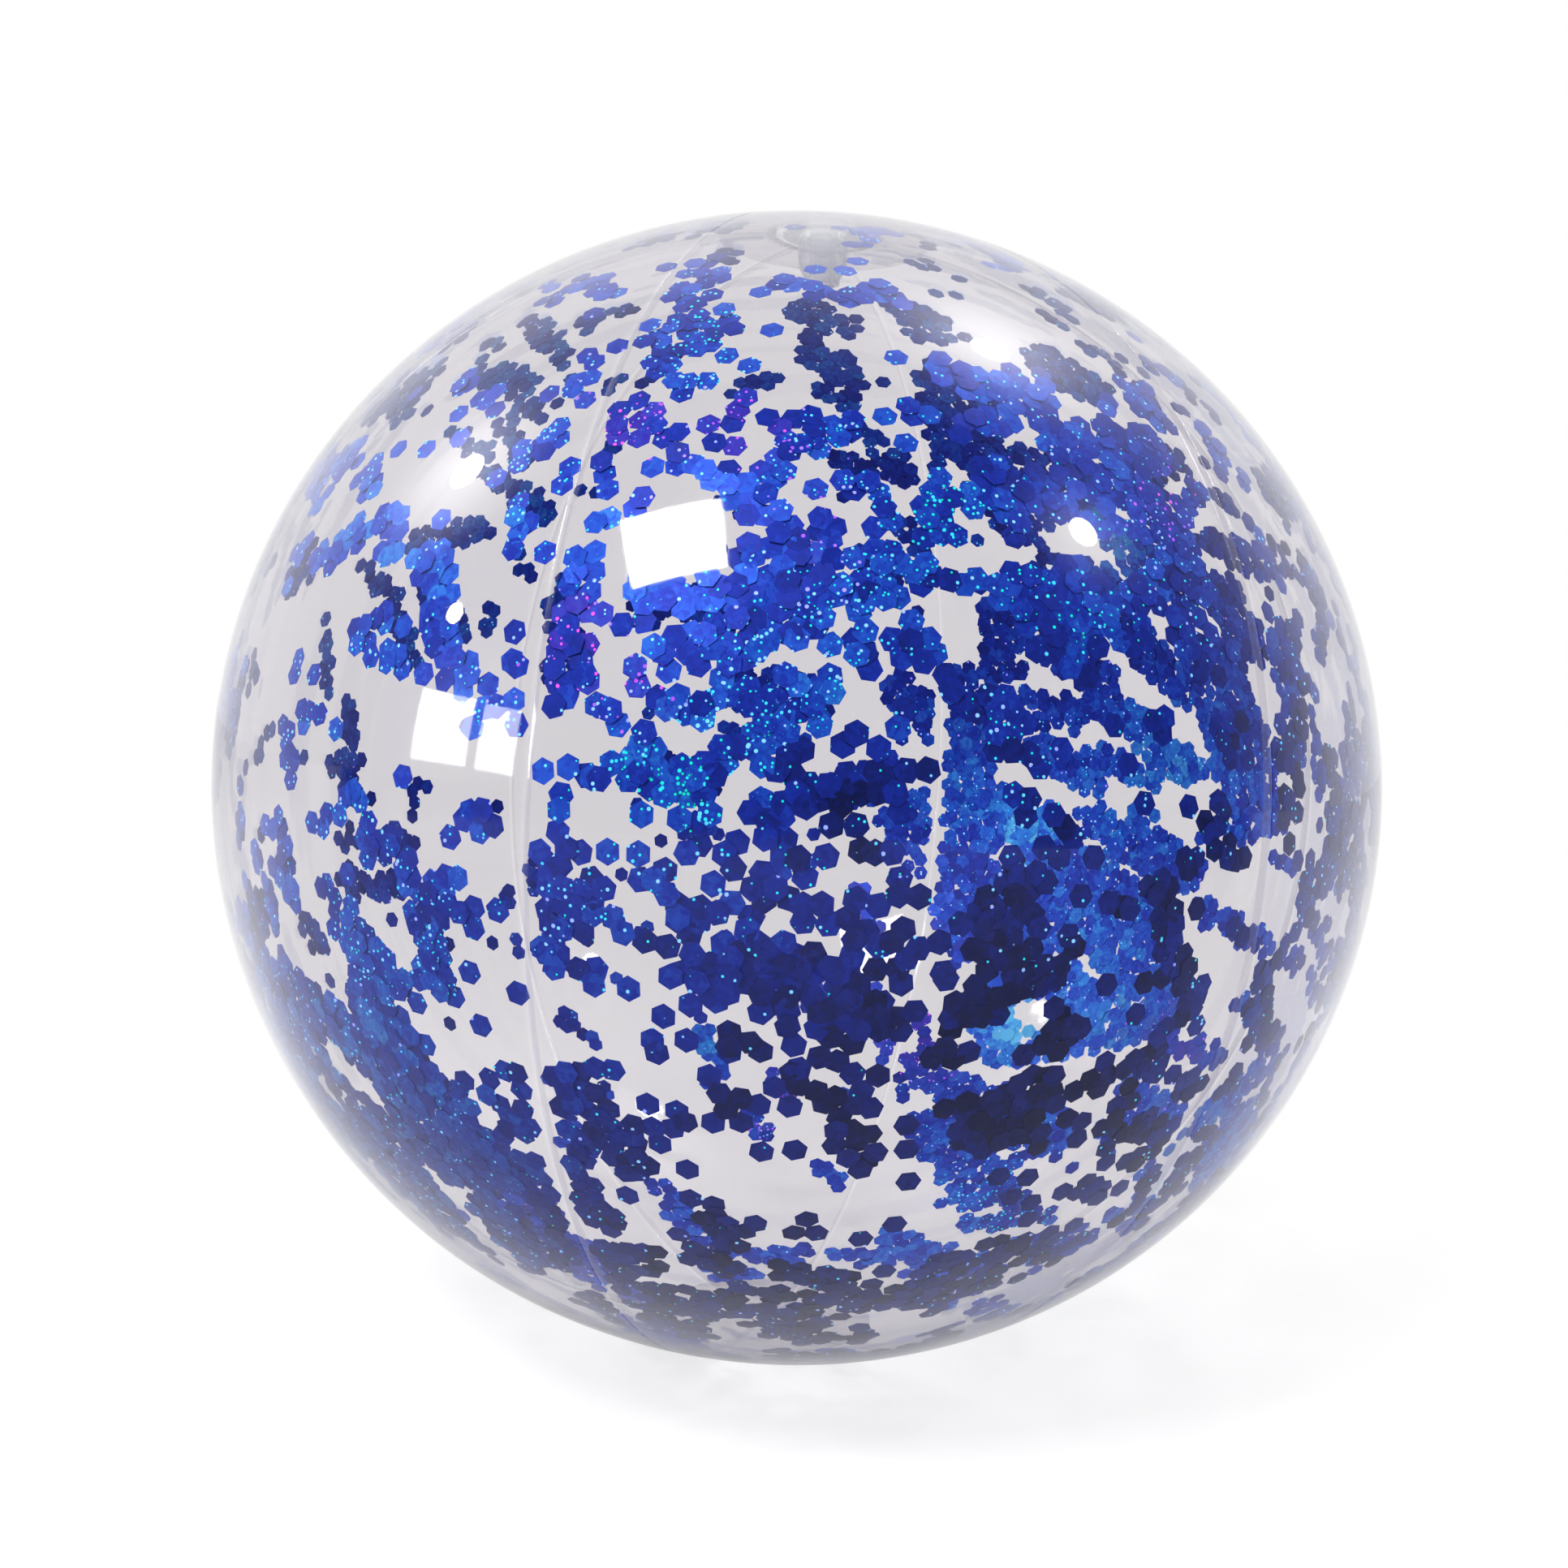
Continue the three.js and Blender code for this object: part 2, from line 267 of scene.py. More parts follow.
marking = {
    "cloudDetail": 3.0,
    "cloudRoughness": 0.55,
    "hazeFrom": 0.42,
    "hazeTo": 0.78,
    "fineScale": 9.0,  # times the clouds' scale
    "fineDetail": 2.0,
    "fineHeight": 0.2,
}


def makeMarks():
    group = bpy.data.node_groups.new("vinylMarks", "ShaderNodeTree")
    for name in ("Scale", "Amount"):
        group.interface.new_socket(name, in_out="INPUT", socket_type="NodeSocketFloat")
    for name in ("Haze", "Height"):
        group.interface.new_socket(name, in_out="OUTPUT", socket_type="NodeSocketFloat")
    given = put(group, "NodeGroupInput")
    place = put(group, "ShaderNodeTexCoord").outputs["Object"]
    cloud = put(group, "ShaderNodeTexNoise", {
        "Vector": place, "Scale": given.outputs["Scale"], "Detail": marking["cloudDetail"],
        "Roughness": marking["cloudRoughness"]}).outputs["Fac"]
    fineScale = calc(group, "MULTIPLY", given.outputs["Scale"], marking["fineScale"])
    fine = put(group, "ShaderNodeTexNoise", {
        "Vector": place, "Scale": fineScale, "Detail": marking["fineDetail"]}).outputs["Fac"]
    clouded = remap(group, cloud, marking["hazeFrom"], marking["hazeTo"])
    put(group, "NodeGroupOutput", {
        "Haze": calc(group, "MULTIPLY", clouded, given.outputs["Amount"]),
        "Height": calc(group, "MULTIPLY", fine, marking["fineHeight"])})
    return group


vinylMarks = makeMarks()


def addMarks(tree, scale, amount):
    marks = put(tree, "ShaderNodeGroup", node_tree=vinylMarks)
    marks.inputs["Scale"].default_value = scale
    marks.inputs["Amount"].default_value = amount
    return marks.outputs


# Clear vinyl film: see-through sheet whose gloss grows towards grazing sight

film = {
    "thickness": 0.25 * mm,
    "finHeight": 2 * mm,
    "seamGap": 0.04 * mm,  # from the film to the seam's middle
    "cornerRadius": 0.3 * mm,
    "seamDip": 0.05 * mm,  # the film draws in towards its seams
    "dipReach": 1.2 * mm,
    "puckerReach": 9 * mm,
    "puckerPhase": 1.7,  # from one seam to the next
    "puckers": [(0.016 * mm, 1.9 * mm), (0.0128 * mm, 3.1 * mm), (0.0096 * mm, 5.3 * mm)],  # height, length
    "calmRadius": 24 * mm,  # the tips lie smooth within it
    "rows": 132,
    "lowRows": 16,  # of them about the flat that the ball rests on
    "lowReach": 1.6,  # times that flat's radius
    "columns": 26,  # on each half of a gore
    "crowding": 1.7,  # of the columns towards the seam
    "bendSteps": 4,
    "finSteps": 3,
    "weldReach": 0.4 * mm,
    "bottomTip": 4 * mm,
    "topTip": 13 * mm,
    "tint": (0.915, 0.907, 0.918, 1),
    "weldTint": (0.99, 0.988, 0.992, 1),
    "faceGloss": 0.022,
    "glossRise": 4.6,
    "gloss": (0.95, 0.95, 0.97, 1),
    "finGloss": 0.1,  # of the film's, because the fins are matt
    "weldGloss": 0.04,
    "roughness": 0.03,
    "weldRoughness": 0.2,
    "marksScale": 22.0,
    "haze": 0.04,
    "bump": 0.02,
    "bumpDepth": 0.2 * mm,
}


def makeFilmMaterial():
    material, tree = blankMaterial("clearFilm")
    facing = put(tree, "ShaderNodeLayerWeight", {"Blend": 0.5}).outputs["Facing"]
    rise = calc(tree, "POWER", facing, film["glossRise"])
    sheen = calc(tree, "MULTIPLY_ADD", rise, 1 - film["faceGloss"], film["faceGloss"])
    marks = addMarks(tree, film["marksScale"], film["haze"])
    weld = put(tree, "ShaderNodeAttribute", attribute_name="weld").outputs["Fac"]
    calm = calc(tree, "MULTIPLY", sheen, remap(tree, weld, 0.5, 1.0, 1.0, film["finGloss"]))
    shown = calc(tree, "ADD", calm, calc(tree, "MULTIPLY", weld, film["weldGloss"]), clamp=True)
    rough = calc(tree, "MULTIPLY_ADD", weld, film["weldRoughness"], film["roughness"])
    bump = put(tree, "ShaderNodeBump", {
        "Height": marks["Height"], "Strength": film["bump"], "Distance": film["bumpDepth"]})
    surface = put(tree, "ShaderNodeBsdfPrincipled", {
        "Base Color": film["gloss"], "Metallic": 1.0, "Normal": bump.outputs[0],
        "Roughness": calc(tree, "ADD", rough, marks["Haze"])})
    tint = mixColours(tree, weld, film["tint"], film["weldTint"])
    clear = put(tree, "ShaderNodeBsdfTransparent", {"Color": tint})
    mixed = put(tree, "ShaderNodeMixShader", {"Fac": shown, 1: clear.outputs[0], 2: surface.outputs[0]})
    finishMaterial(tree, mixed.outputs[0])
    return material


clearFilm = makeFilmMaterial()


# The ball's meridian: radius, height and outward way at each angle above the equator
def meridian(angles):
    radius = ball["equatorRadius"] * np.cos(angles)
    height = ballCentre[2] + ball["poleRadius"] * np.sin(angles)
    gap = height - ball["floorLift"]
    height = ball["floorLift"] + 0.5 * (gap + np.sqrt(gap ** 2 + ball["restEase"] ** 2))
    along = np.gradient(radius), np.gradient(height)
    length = np.hypot(*along)
    return radius, height, along[1] / length, -along[0] / length


def goreRows():
    low = -math.acos(film["bottomTip"] / ball["equatorRadius"])
    high = math.acos(film["topTip"] / ball["equatorRadius"])
    restEdge = -math.acos(film["lowReach"] * ball["restRadius"] / ball["equatorRadius"])
    early = np.linspace(low, restEdge, film["lowRows"], endpoint=False)
    return np.concatenate([early, np.linspace(restEdge, high, film["rows"] - film["lowRows"])])


# How far the film lies inside the smooth ball, near a seam
def drawnIn(radius, fromSeam, along, seam):
    calm = np.clip(radius / film["calmRadius"] - 1, 0, 1)
    phase = film["puckerPhase"] * seam
    waves = sum(tall * np.sin(along / length + serial * phase)
                for serial, (tall, length) in enumerate(film["puckers"], 1))
    dip = film["seamDip"] * np.exp(-fromSeam / film["dipReach"])
    return calm * (dip + waves * np.exp(-fromSeam / film["puckerReach"]))


def wallPoints(gore, turn, radius, height, outR, outZ, depth):
    inner = radius - depth * outR
    angle = ball["frontSeam"] + goreAngle * (gore - 0.5) + turn
    return np.stack([inner * np.sin(angle), -inner * np.cos(angle), height - depth * outZ], -1)


def makeGore(gore):
    radius, height, outR, outZ = (a[:, None] for a in meridian(goreRows()))
    along = np.cumsum(np.hypot(np.gradient(radius[:, 0]), np.gradient(height[:, 0])))[:, None]
    half, corner, thick = goreAngle / 2, film["cornerRadius"], film["thickness"]
    edge = film["seamGap"] + corner
    sides = []
    for side in (-1, 1):
        seam = (gore + (side > 0)) % ball["goreCount"]
        spread = np.linspace(0, 1, film["columns"])[None, ::-1] ** film["crowding"]
        turn = (half - np.arcsin(edge / radius)) * (1 - spread)
        fromSeam = radius * np.sin(half - turn)
        dip = drawnIn(radius, fromSeam, along, seam)
        lip = dip[:, -1:]
        bend = np.linspace(0, math.pi / 2, film["bendSteps"] + 1)[None, 1:]
        down = np.linspace(corner, film["finHeight"], film["finSteps"] + 1)[None, 1:]
        layers = []
        for below in (0, thick):  # the film's outside and its inside
            tight = corner - below
            depth = np.hstack([dip + below, lip + corner - tight * np.cos(bend), lip + down])
            fin = film["seamGap"] + below + 0 * (lip + down)
            gap = np.hstack([fromSeam, edge - tight * np.sin(bend) + 0 * lip, fin])
            at = half - np.arcsin(np.clip(gap / (radius - depth * outR), 0, 1))
            at[:, :film["columns"]] = turn
            points = wallPoints(gore, side * at, radius, height, outR, outZ, depth)
            weld = 0.5 * np.exp(-np.clip(gap - edge, 0, None) / film["weldReach"])
            weld[:, -film["finSteps"]:] = 1  # the fin
            layers.append((points if side > 0 else points[:, ::-1], weld if side > 0 else weld[:, ::-1]))
        sides.append(layers)
    sheets = []
    for layer in (0, 1):
        left, right = sides[0][layer], sides[1][layer]
        sheets.append((np.hstack([left[0], right[0][:, 1:]]), np.hstack([left[1], right[1][:, 1:]])))
    rows, columns = sheets[0][0].shape[:2]
    total = rows * columns
    outer = gridFaces(rows, columns)
    inner = gridFaces(rows, columns, total)[:, ::-1]
    index = np.arange(total).reshape(rows, columns)
    rim = np.concatenate([index[0], index[1:, -1], index[-1, -2::-1], index[-2:0:-1, 0]])
    after = np.roll(rim, -1)
    wall = np.stack([after, rim, rim + total, after + total], -1)
    points = np.concatenate([s[0].reshape(-1, 3) for s in sheets])
    piece = meshObject(f"filmGore{gore}", points, np.concatenate([outer, inner, wall]), clearFilm)
    setAttribute(piece.data, "weld", np.concatenate([s[1].reshape(-1) for s in sheets]))
    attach(piece, "ball")
    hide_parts(f"gore_{gore}")


for gore in range(1, ball["goreCount"] + 1):
    makeGore(gore)
print("six film gores made")


# Pole discs: film patches welded over the gore tips, with a ribbed weld ring

disc = {
    "rimRadius": 28 * mm,
    "holeRadius": 6 * mm,
    "lift": 0.6 * mm,
    "thickness": 0.3 * mm,
    "ribFrom": 15.5 * mm,
    "ribTo": 26.5 * mm,
    "ribPitch": 1.1 * mm,
    "ribHeight": 0.07 * mm,
    "bottomRibs": 0.5,  # of that height, because the ball rests on them
    "rimTaper": 1.4 * mm,
    "rimLift": 0.12 * mm,
    "rimThickness": 0.06 * mm,
    "weldShade": 0.35,
    "segments": 128,
    "steps": 150,
}


# 1 on the weld ring, fading out over one rib at its edges
def weldRing(radius):
    return np.clip(np.minimum(radius - disc["ribFrom"], disc["ribTo"] - radius) / disc["ribPitch"], 0, 1)


def makeDisc(name, node, top):
    facing = 1 if top else -1
    rim = math.acos(disc["rimRadius"] / ball["equatorRadius"])
    tip = math.acos((disc["holeRadius"] if top else 0) / ball["equatorRadius"])
    radius, height, outR, outZ = meridian(facing * np.linspace(tip, rim, disc["steps"]))
    outR, outZ = np.abs(outR), facing * np.abs(outZ)
    ribs = weldRing(radius) * disc["ribHeight"] * np.sin(2 * math.pi * radius / disc["ribPitch"])
    ribs = ribs * (1 if top else disc["bottomRibs"])
    taper = np.clip((disc["rimRadius"] - radius) / disc["rimTaper"], 0, 1) ** 0.5
    outside = disc["rimLift"] + (disc["lift"] - disc["rimLift"]) * taper + ribs
    inside = outside - (disc["rimThickness"] + (disc["thickness"] - disc["rimThickness"]) * taper)
    if not top:
        outside = np.where(radius < ball["restRadius"], np.minimum(outside, disc["lift"]), outside)
    upper, lower = (list(zip(radius + lift * outR, height + lift * outZ)) for lift in (outside, inside))
    if not top:
        upper[0], lower[0] = (0, upper[0][1]), (0, lower[0][1])
    piece = turned(name, upper + lower[::-1], disc["segments"], clearFilm, ring=top)
    reach = np.hypot(*np.array([v.co[:2] for v in piece.data.vertices]).T)
    setAttribute(piece.data, "weld", disc["weldShade"] * weldRing(reach))
    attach(piece, "ball")
    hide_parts(node)


makeDisc("topDisc", "top_pole_disc", True)
makeDisc("bottomDisc", "bottom_pole_disc", False)
print("pole discs made")


# Valve of soft milky vinyl

valve = {
    "segments": 72,
    "ease": 0.25 * mm,
    "flangeRadius": 11 * mm,
    "flangeThickness": 0.7 * mm,
    "flangeSteps": 12,
    "collarClear": 0.2 * mm,
    "boreRadius": 6 * mm,
    "collarWall": 0.7 * mm,
    "collarDepth": 7 * mm,
    "stemRadius": 3.5 * mm,
    "stemBore": 2.5 * mm,
    "stemLength": 12 * mm,
    "lipRadius": 4.7 * mm,
    "lipHeight": 1.6 * mm,
    "lipChamfer": 0.5 * mm,
    "gripRings": 3,
    "gripHeight": 0.18 * mm,
    "gripHalf": 0.3 * mm,
    "gripFrom": 1.6 * mm,  # above the foot bead
    "gripTo": 2.9 * mm,  # below the lip
    "footRadius": 4 * mm,
    "footHeight": 1.2 * mm,
    "footSlope": 0.4 * mm,
    "webThickness": 0.4 * mm,
    "webTurn": 0.55,  # of its depth, where it bends inwards
    "webSteps": 36,
    "headRadius": 3.8 * mm,
    "headHeight": 1.4 * mm,
    "dishDepth": 0.4 * mm,
    "rimWidth": 0.9 * mm,
    "shankLength": 5 * mm,
    "shankTaper": 0.25 * mm,
    "beadHeight": 0.1 * mm,
    "beadHalf": 0.5 * mm,
    "seat": 0.3 * mm,
    "tetherWidth": 2.4 * mm,
    "tetherThickness": 0.6 * mm,
    "tetherDrop": 1.6 * mm,
    "tetherBend": 0.8 * mm,
    "tetherHold": 0.4 * mm,  # below the lip, up to where the tether stays with the stem
    "tetherTop": 0.1 * mm,  # below its level at the plug, from where it goes all the way with the plug
    "strapEase": 0.2 * mm,
    "flapThickness": 0.5 * mm,
    "flapRadius": 3.3 * mm,
    "flapEase": 0.12 * mm,
    "flapSteps": 60,
    "tongueWidth": 2.6 * mm,
    "faceBody": 0.16,
    "edgeBody": 0.55,
    "bodyRise": 3.0,
    "clearColour": (0.68, 0.71, 0.78, 1),
    "milkyColour": (0.8, 0.82, 0.86, 1),
    "milkiness": 8.0,
    "roughness": (0.2, 0.38),
    "marksScale": 260.0,
    "haze": 0.1,
    "bump": 0.1,
    "bumpDepth": 0.1 * mm,
}
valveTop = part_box("valve_plug")[1].z
headFloor = valveTop - valve["headHeight"]
stemTop = headFloor - valve["seat"]
lipFloor = stemTop - valve["lipHeight"]
stemFoot = stemTop - valve["stemLength"]
collarFoot = valveTop - valve["collarDepth"]


def makeVinylMaterial():
    material, tree = blankMaterial("valveVinyl")
    facing = put(tree, "ShaderNodeLayerWeight", {"Blend": 0.5}).outputs["Facing"]
    rise = calc(tree, "POWER", facing, valve["bodyRise"])
    marks = addMarks(tree, valve["marksScale"], valve["haze"])
    body = calc(tree, "MULTIPLY_ADD", rise, valve["edgeBody"], valve["faceBody"])
    milk = calc(tree, "MULTIPLY", marks["Haze"], valve["milkiness"], clamp=True)
    bump = put(tree, "ShaderNodeBump", {
        "Height": marks["Height"], "Strength": valve["bump"], "Distance": valve["bumpDepth"]})
    surface = put(tree, "ShaderNodeBsdfPrincipled", {
        "Base Color": mixColours(tree, milk, valve["clearColour"], valve["milkyColour"]),
        "Alpha": calc(tree, "ADD", body, marks["Haze"], clamp=True), "Normal": bump.outputs[0],
        "Roughness": remap(tree, marks["Haze"], 0, valve["haze"], *valve["roughness"])})
    finishMaterial(tree, surface.outputs[0])
    return material


valveVinyl = makeVinylMaterial()


def onValve(piece, node, body=None):
    if body:
        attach(piece, body)
    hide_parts(node)


def turnedVinyl(name, outline):
    return turned(name, eased(outline, valve["ease"]), valve["segments"], valveVinyl)


def makeFlange():
    bore, wall = valve["boreRadius"], valve["collarWall"]
    across = np.linspace(bore, valve["flangeRadius"], valve["flangeSteps"])
    radius, height, outR, outZ = meridian(np.arccos(across / ball["equatorRadius"]))
    plate = list(zip(radius, height))
    collar = bore + wall
    under = [(r, h - valve["flangeThickness"]) for r, h in plate[::-1] if r > collar + valve["collarClear"]]
    outline = plate + under + [(collar, under[-1][1]), (collar, collarFoot), (bore, collarFoot)]
    onValve(turnedVinyl("valveFlange", outline), "valve_flange", "ball")


def makeStem():
    bore, tube, lip, foot = valve["stemBore"], valve["stemRadius"], valve["lipRadius"], valve["footRadius"]
    beadTop, cut = stemFoot + valve["footHeight"], valve["lipChamfer"]
    outline = [(bore, stemFoot), (foot, stemFoot), (foot, beadTop), (tube, beadTop + valve["footSlope"])]
    for level in np.linspace(beadTop + valve["gripFrom"], lipFloor - valve["gripTo"], valve["gripRings"]):
        outline += [(tube, level - valve["gripHalf"]), (tube + valve["gripHeight"], level),
                    (tube, level + valve["gripHalf"])]
    outline += [(tube, lipFloor), (lip, lipFloor), (lip, stemTop - cut), (lip - cut, stemTop)]
    outline.append((bore, stemTop))
    onValve(turnedVinyl("valveStem", outline), "valve_stem", "stem")


def bezier(points, steps):
    a, b, c, d = (np.array(p, float) for p in points)
    t = np.linspace(0, 1, steps)[:, None]
    return (1 - t) ** 3 * a + 3 * t * (1 - t) ** 2 * b + 3 * t * t * (1 - t) * c + t ** 3 * d


# The way square to a line at each of its points, in the line's plane
def sideways(line):
    along = np.gradient(line, axis=0)
    return np.column_stack([-along[:, 1], along[:, 0]]) / np.linalg.norm(along, axis=1, keepdims=True)


def makeWeb():
    hang = valve["boreRadius"] + valve["collarWall"] / 2
    grip = valve["footRadius"] + valve["seat"] + valve["webThickness"] / 2
    top = collarFoot - valve["seat"]
    middle = top + (stemFoot - top) * valve["webTurn"]
    line = bezier([(hang, top), (hang, middle), (grip, middle), (grip, stemFoot)], valve["webSteps"])
    side = sideways(line) * valve["webThickness"] / 2
    piece = turned("valveWeb", [*(line + side), *(line - side)[::-1]], valve["segments"], valveVinyl)
    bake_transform(piece)
    onValve(piece, "valve_web")


def makePlug():
    shank, head = valve["stemBore"] - valve["seat"], valve["headRadius"]
    foot, dish = headFloor - valve["shankLength"], valve["headRadius"] - valve["rimWidth"]
    middle, sink, bead = (headFloor + foot) / 2, valve["dishDepth"], valve["beadHalf"]
    outline = [
        (0, foot), (shank - valve["shankTaper"], foot), (shank, middle - bead),
        (shank + valve["beadHeight"], middle), (shank, middle + bead), (shank, headFloor), (head, headFloor),
        (head, valveTop - sink), (head - sink, valveTop), (dish, valveTop), (dish - sink, valveTop - sink),
        (0, valveTop - sink),
    ]
    profile = eased(outline, valve["ease"], closed=False)
    piece = turned("valvePlug", profile, valve["segments"], valveVinyl, ring=False)
    onValve(piece, "valve_plug", "plug")


# A flat strap: a line of (x, z) points with a rounded section across
def strap(name, line, width, thickness, material):
    corners = [(u * width / 2, v * thickness / 2) for u, v in ((-1, -1), (1, -1), (1, 1), (-1, 1))]
    section = np.array(eased(corners, valve["strapEase"], 3))
    rings = [[(p[0] + s[0] * v, u, p[1] + s[1] * v) for u, v in section]
             for p, s in zip(line, sideways(line))]
    rows, columns = len(rings), len(section)
    faces = [list(f) for f in gridFaces(rows, columns, closeColumns=True)]
    faces += [list(range(columns)), list(range((rows - 1) * columns, rows * columns))[::-1]]
    return meshObject(name, np.array(rings).reshape(-1, 3), faces, material)


def makeTether():
    thick = valve["tetherThickness"]
    headSide = valve["headRadius"] + valve["seat"]
    inner = valve["stemRadius"] + valve["seat"] + thick / 2
    outer = valve["lipRadius"] + valve["seat"] + thick / 2
    level, turn, bend = (valveTop + headFloor) / 2, lipFloor - valve["tetherDrop"], (outer - inner) / 2
    curve = valve["tetherBend"]
    corner = [(outer - curve * (1 - math.sin(t)), level - curve * (1 - math.cos(t)))
              for t in np.linspace(0, math.pi / 2, 8)]
    drop = [(outer, z) for z in np.linspace(level - curve, turn, 16)[1:]]
    fold = [(inner + bend + bend * math.cos(t), turn - bend * math.sin(t))
            for t in np.linspace(0, math.pi, 12)[1:]]
    rise = [(inner, z) for z in np.linspace(turn, lipFloor - valve["seat"], 5)[1:]]
    line = np.array([(headSide, level), *corner, *drop, *fold, *rise])
    piece = strap("plugTether", line, valve["tetherWidth"], thick, valveVinyl)
    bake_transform(piece)
    onValve(piece, "plug_tether")


def makeFlap():
    radius, tongue, hinge = valve["flapRadius"], valve["tongueWidth"] / 2, valve["footRadius"]
    sweep = math.pi - math.asin(tongue / radius)
    rim = [(radius * math.cos(a), radius * math.sin(a))
           for a in np.linspace(-sweep, sweep, valve["flapSteps"])]
    outline = eased([(-hinge, -tongue), *rim, (-hinge, tongue)], valve["strapEase"], 3)
    top, count, ease = stemFoot - valve["seat"], len(outline), valve["flapEase"]
    middle = np.mean(outline, axis=0)
    levels = [(ease, 0), (0, ease), (0, valve["flapThickness"] - ease), (ease, valve["flapThickness"])]
    points = []
    for inset, down in levels:
        points += [(*(p - unit(p - middle) * inset), top - down) for p in outline]
    faces = [list(f) for f in gridFaces(len(levels), count, closeColumns=True)]
    faces += [list(range(count)), list(range(3 * count, 4 * count))[::-1]]
    onValve(meshObject("checkFlap", points, faces, valveVinyl), "check_flap", "flap")


makeFlange()
makeStem()
makeWeb()
makePlug()
makeTether()
makeFlap()
print("valve made")


# Loose foil flakes, gathered in drifts on the inside of the film

flakes = {
    "acrossFlats": 4.6 * mm,
    "thickness": 0.06 * mm,
    "closest": 2.6 * mm,  # between the middles of two flakes
    "densest": 420000.0,  # tries per square metre
    "deepest": 0.55 * mm,  # how far a lapped flake stands off the film
    "tilt": math.radians(3.5),
    "stray": 0.012,
    "driftFade": 5.0,  # pixels over which a drift thins out
    "wallStep": 1.5 * mm,
    "wallReach": math.radians(80),  # above and below the equator
    "filmClear": 0.2 * mm,
    "singleClear": 0.3 * mm,
    "seamClear": 3.2 * mm,
    "edgeOn": 0.44,  # how squarely the photograph has to see the wall to tell its drifts
    "edgeFade": 0.14,
    "clumpSize": 24 * mm,  # of the drifts made up where it doesn't
    "clumpDetail": 9 * mm,
    "clumpGap": 8.0,  # how sharply they are broken up
    "clumpEdge": 10.0,
    "seed": 11,
}

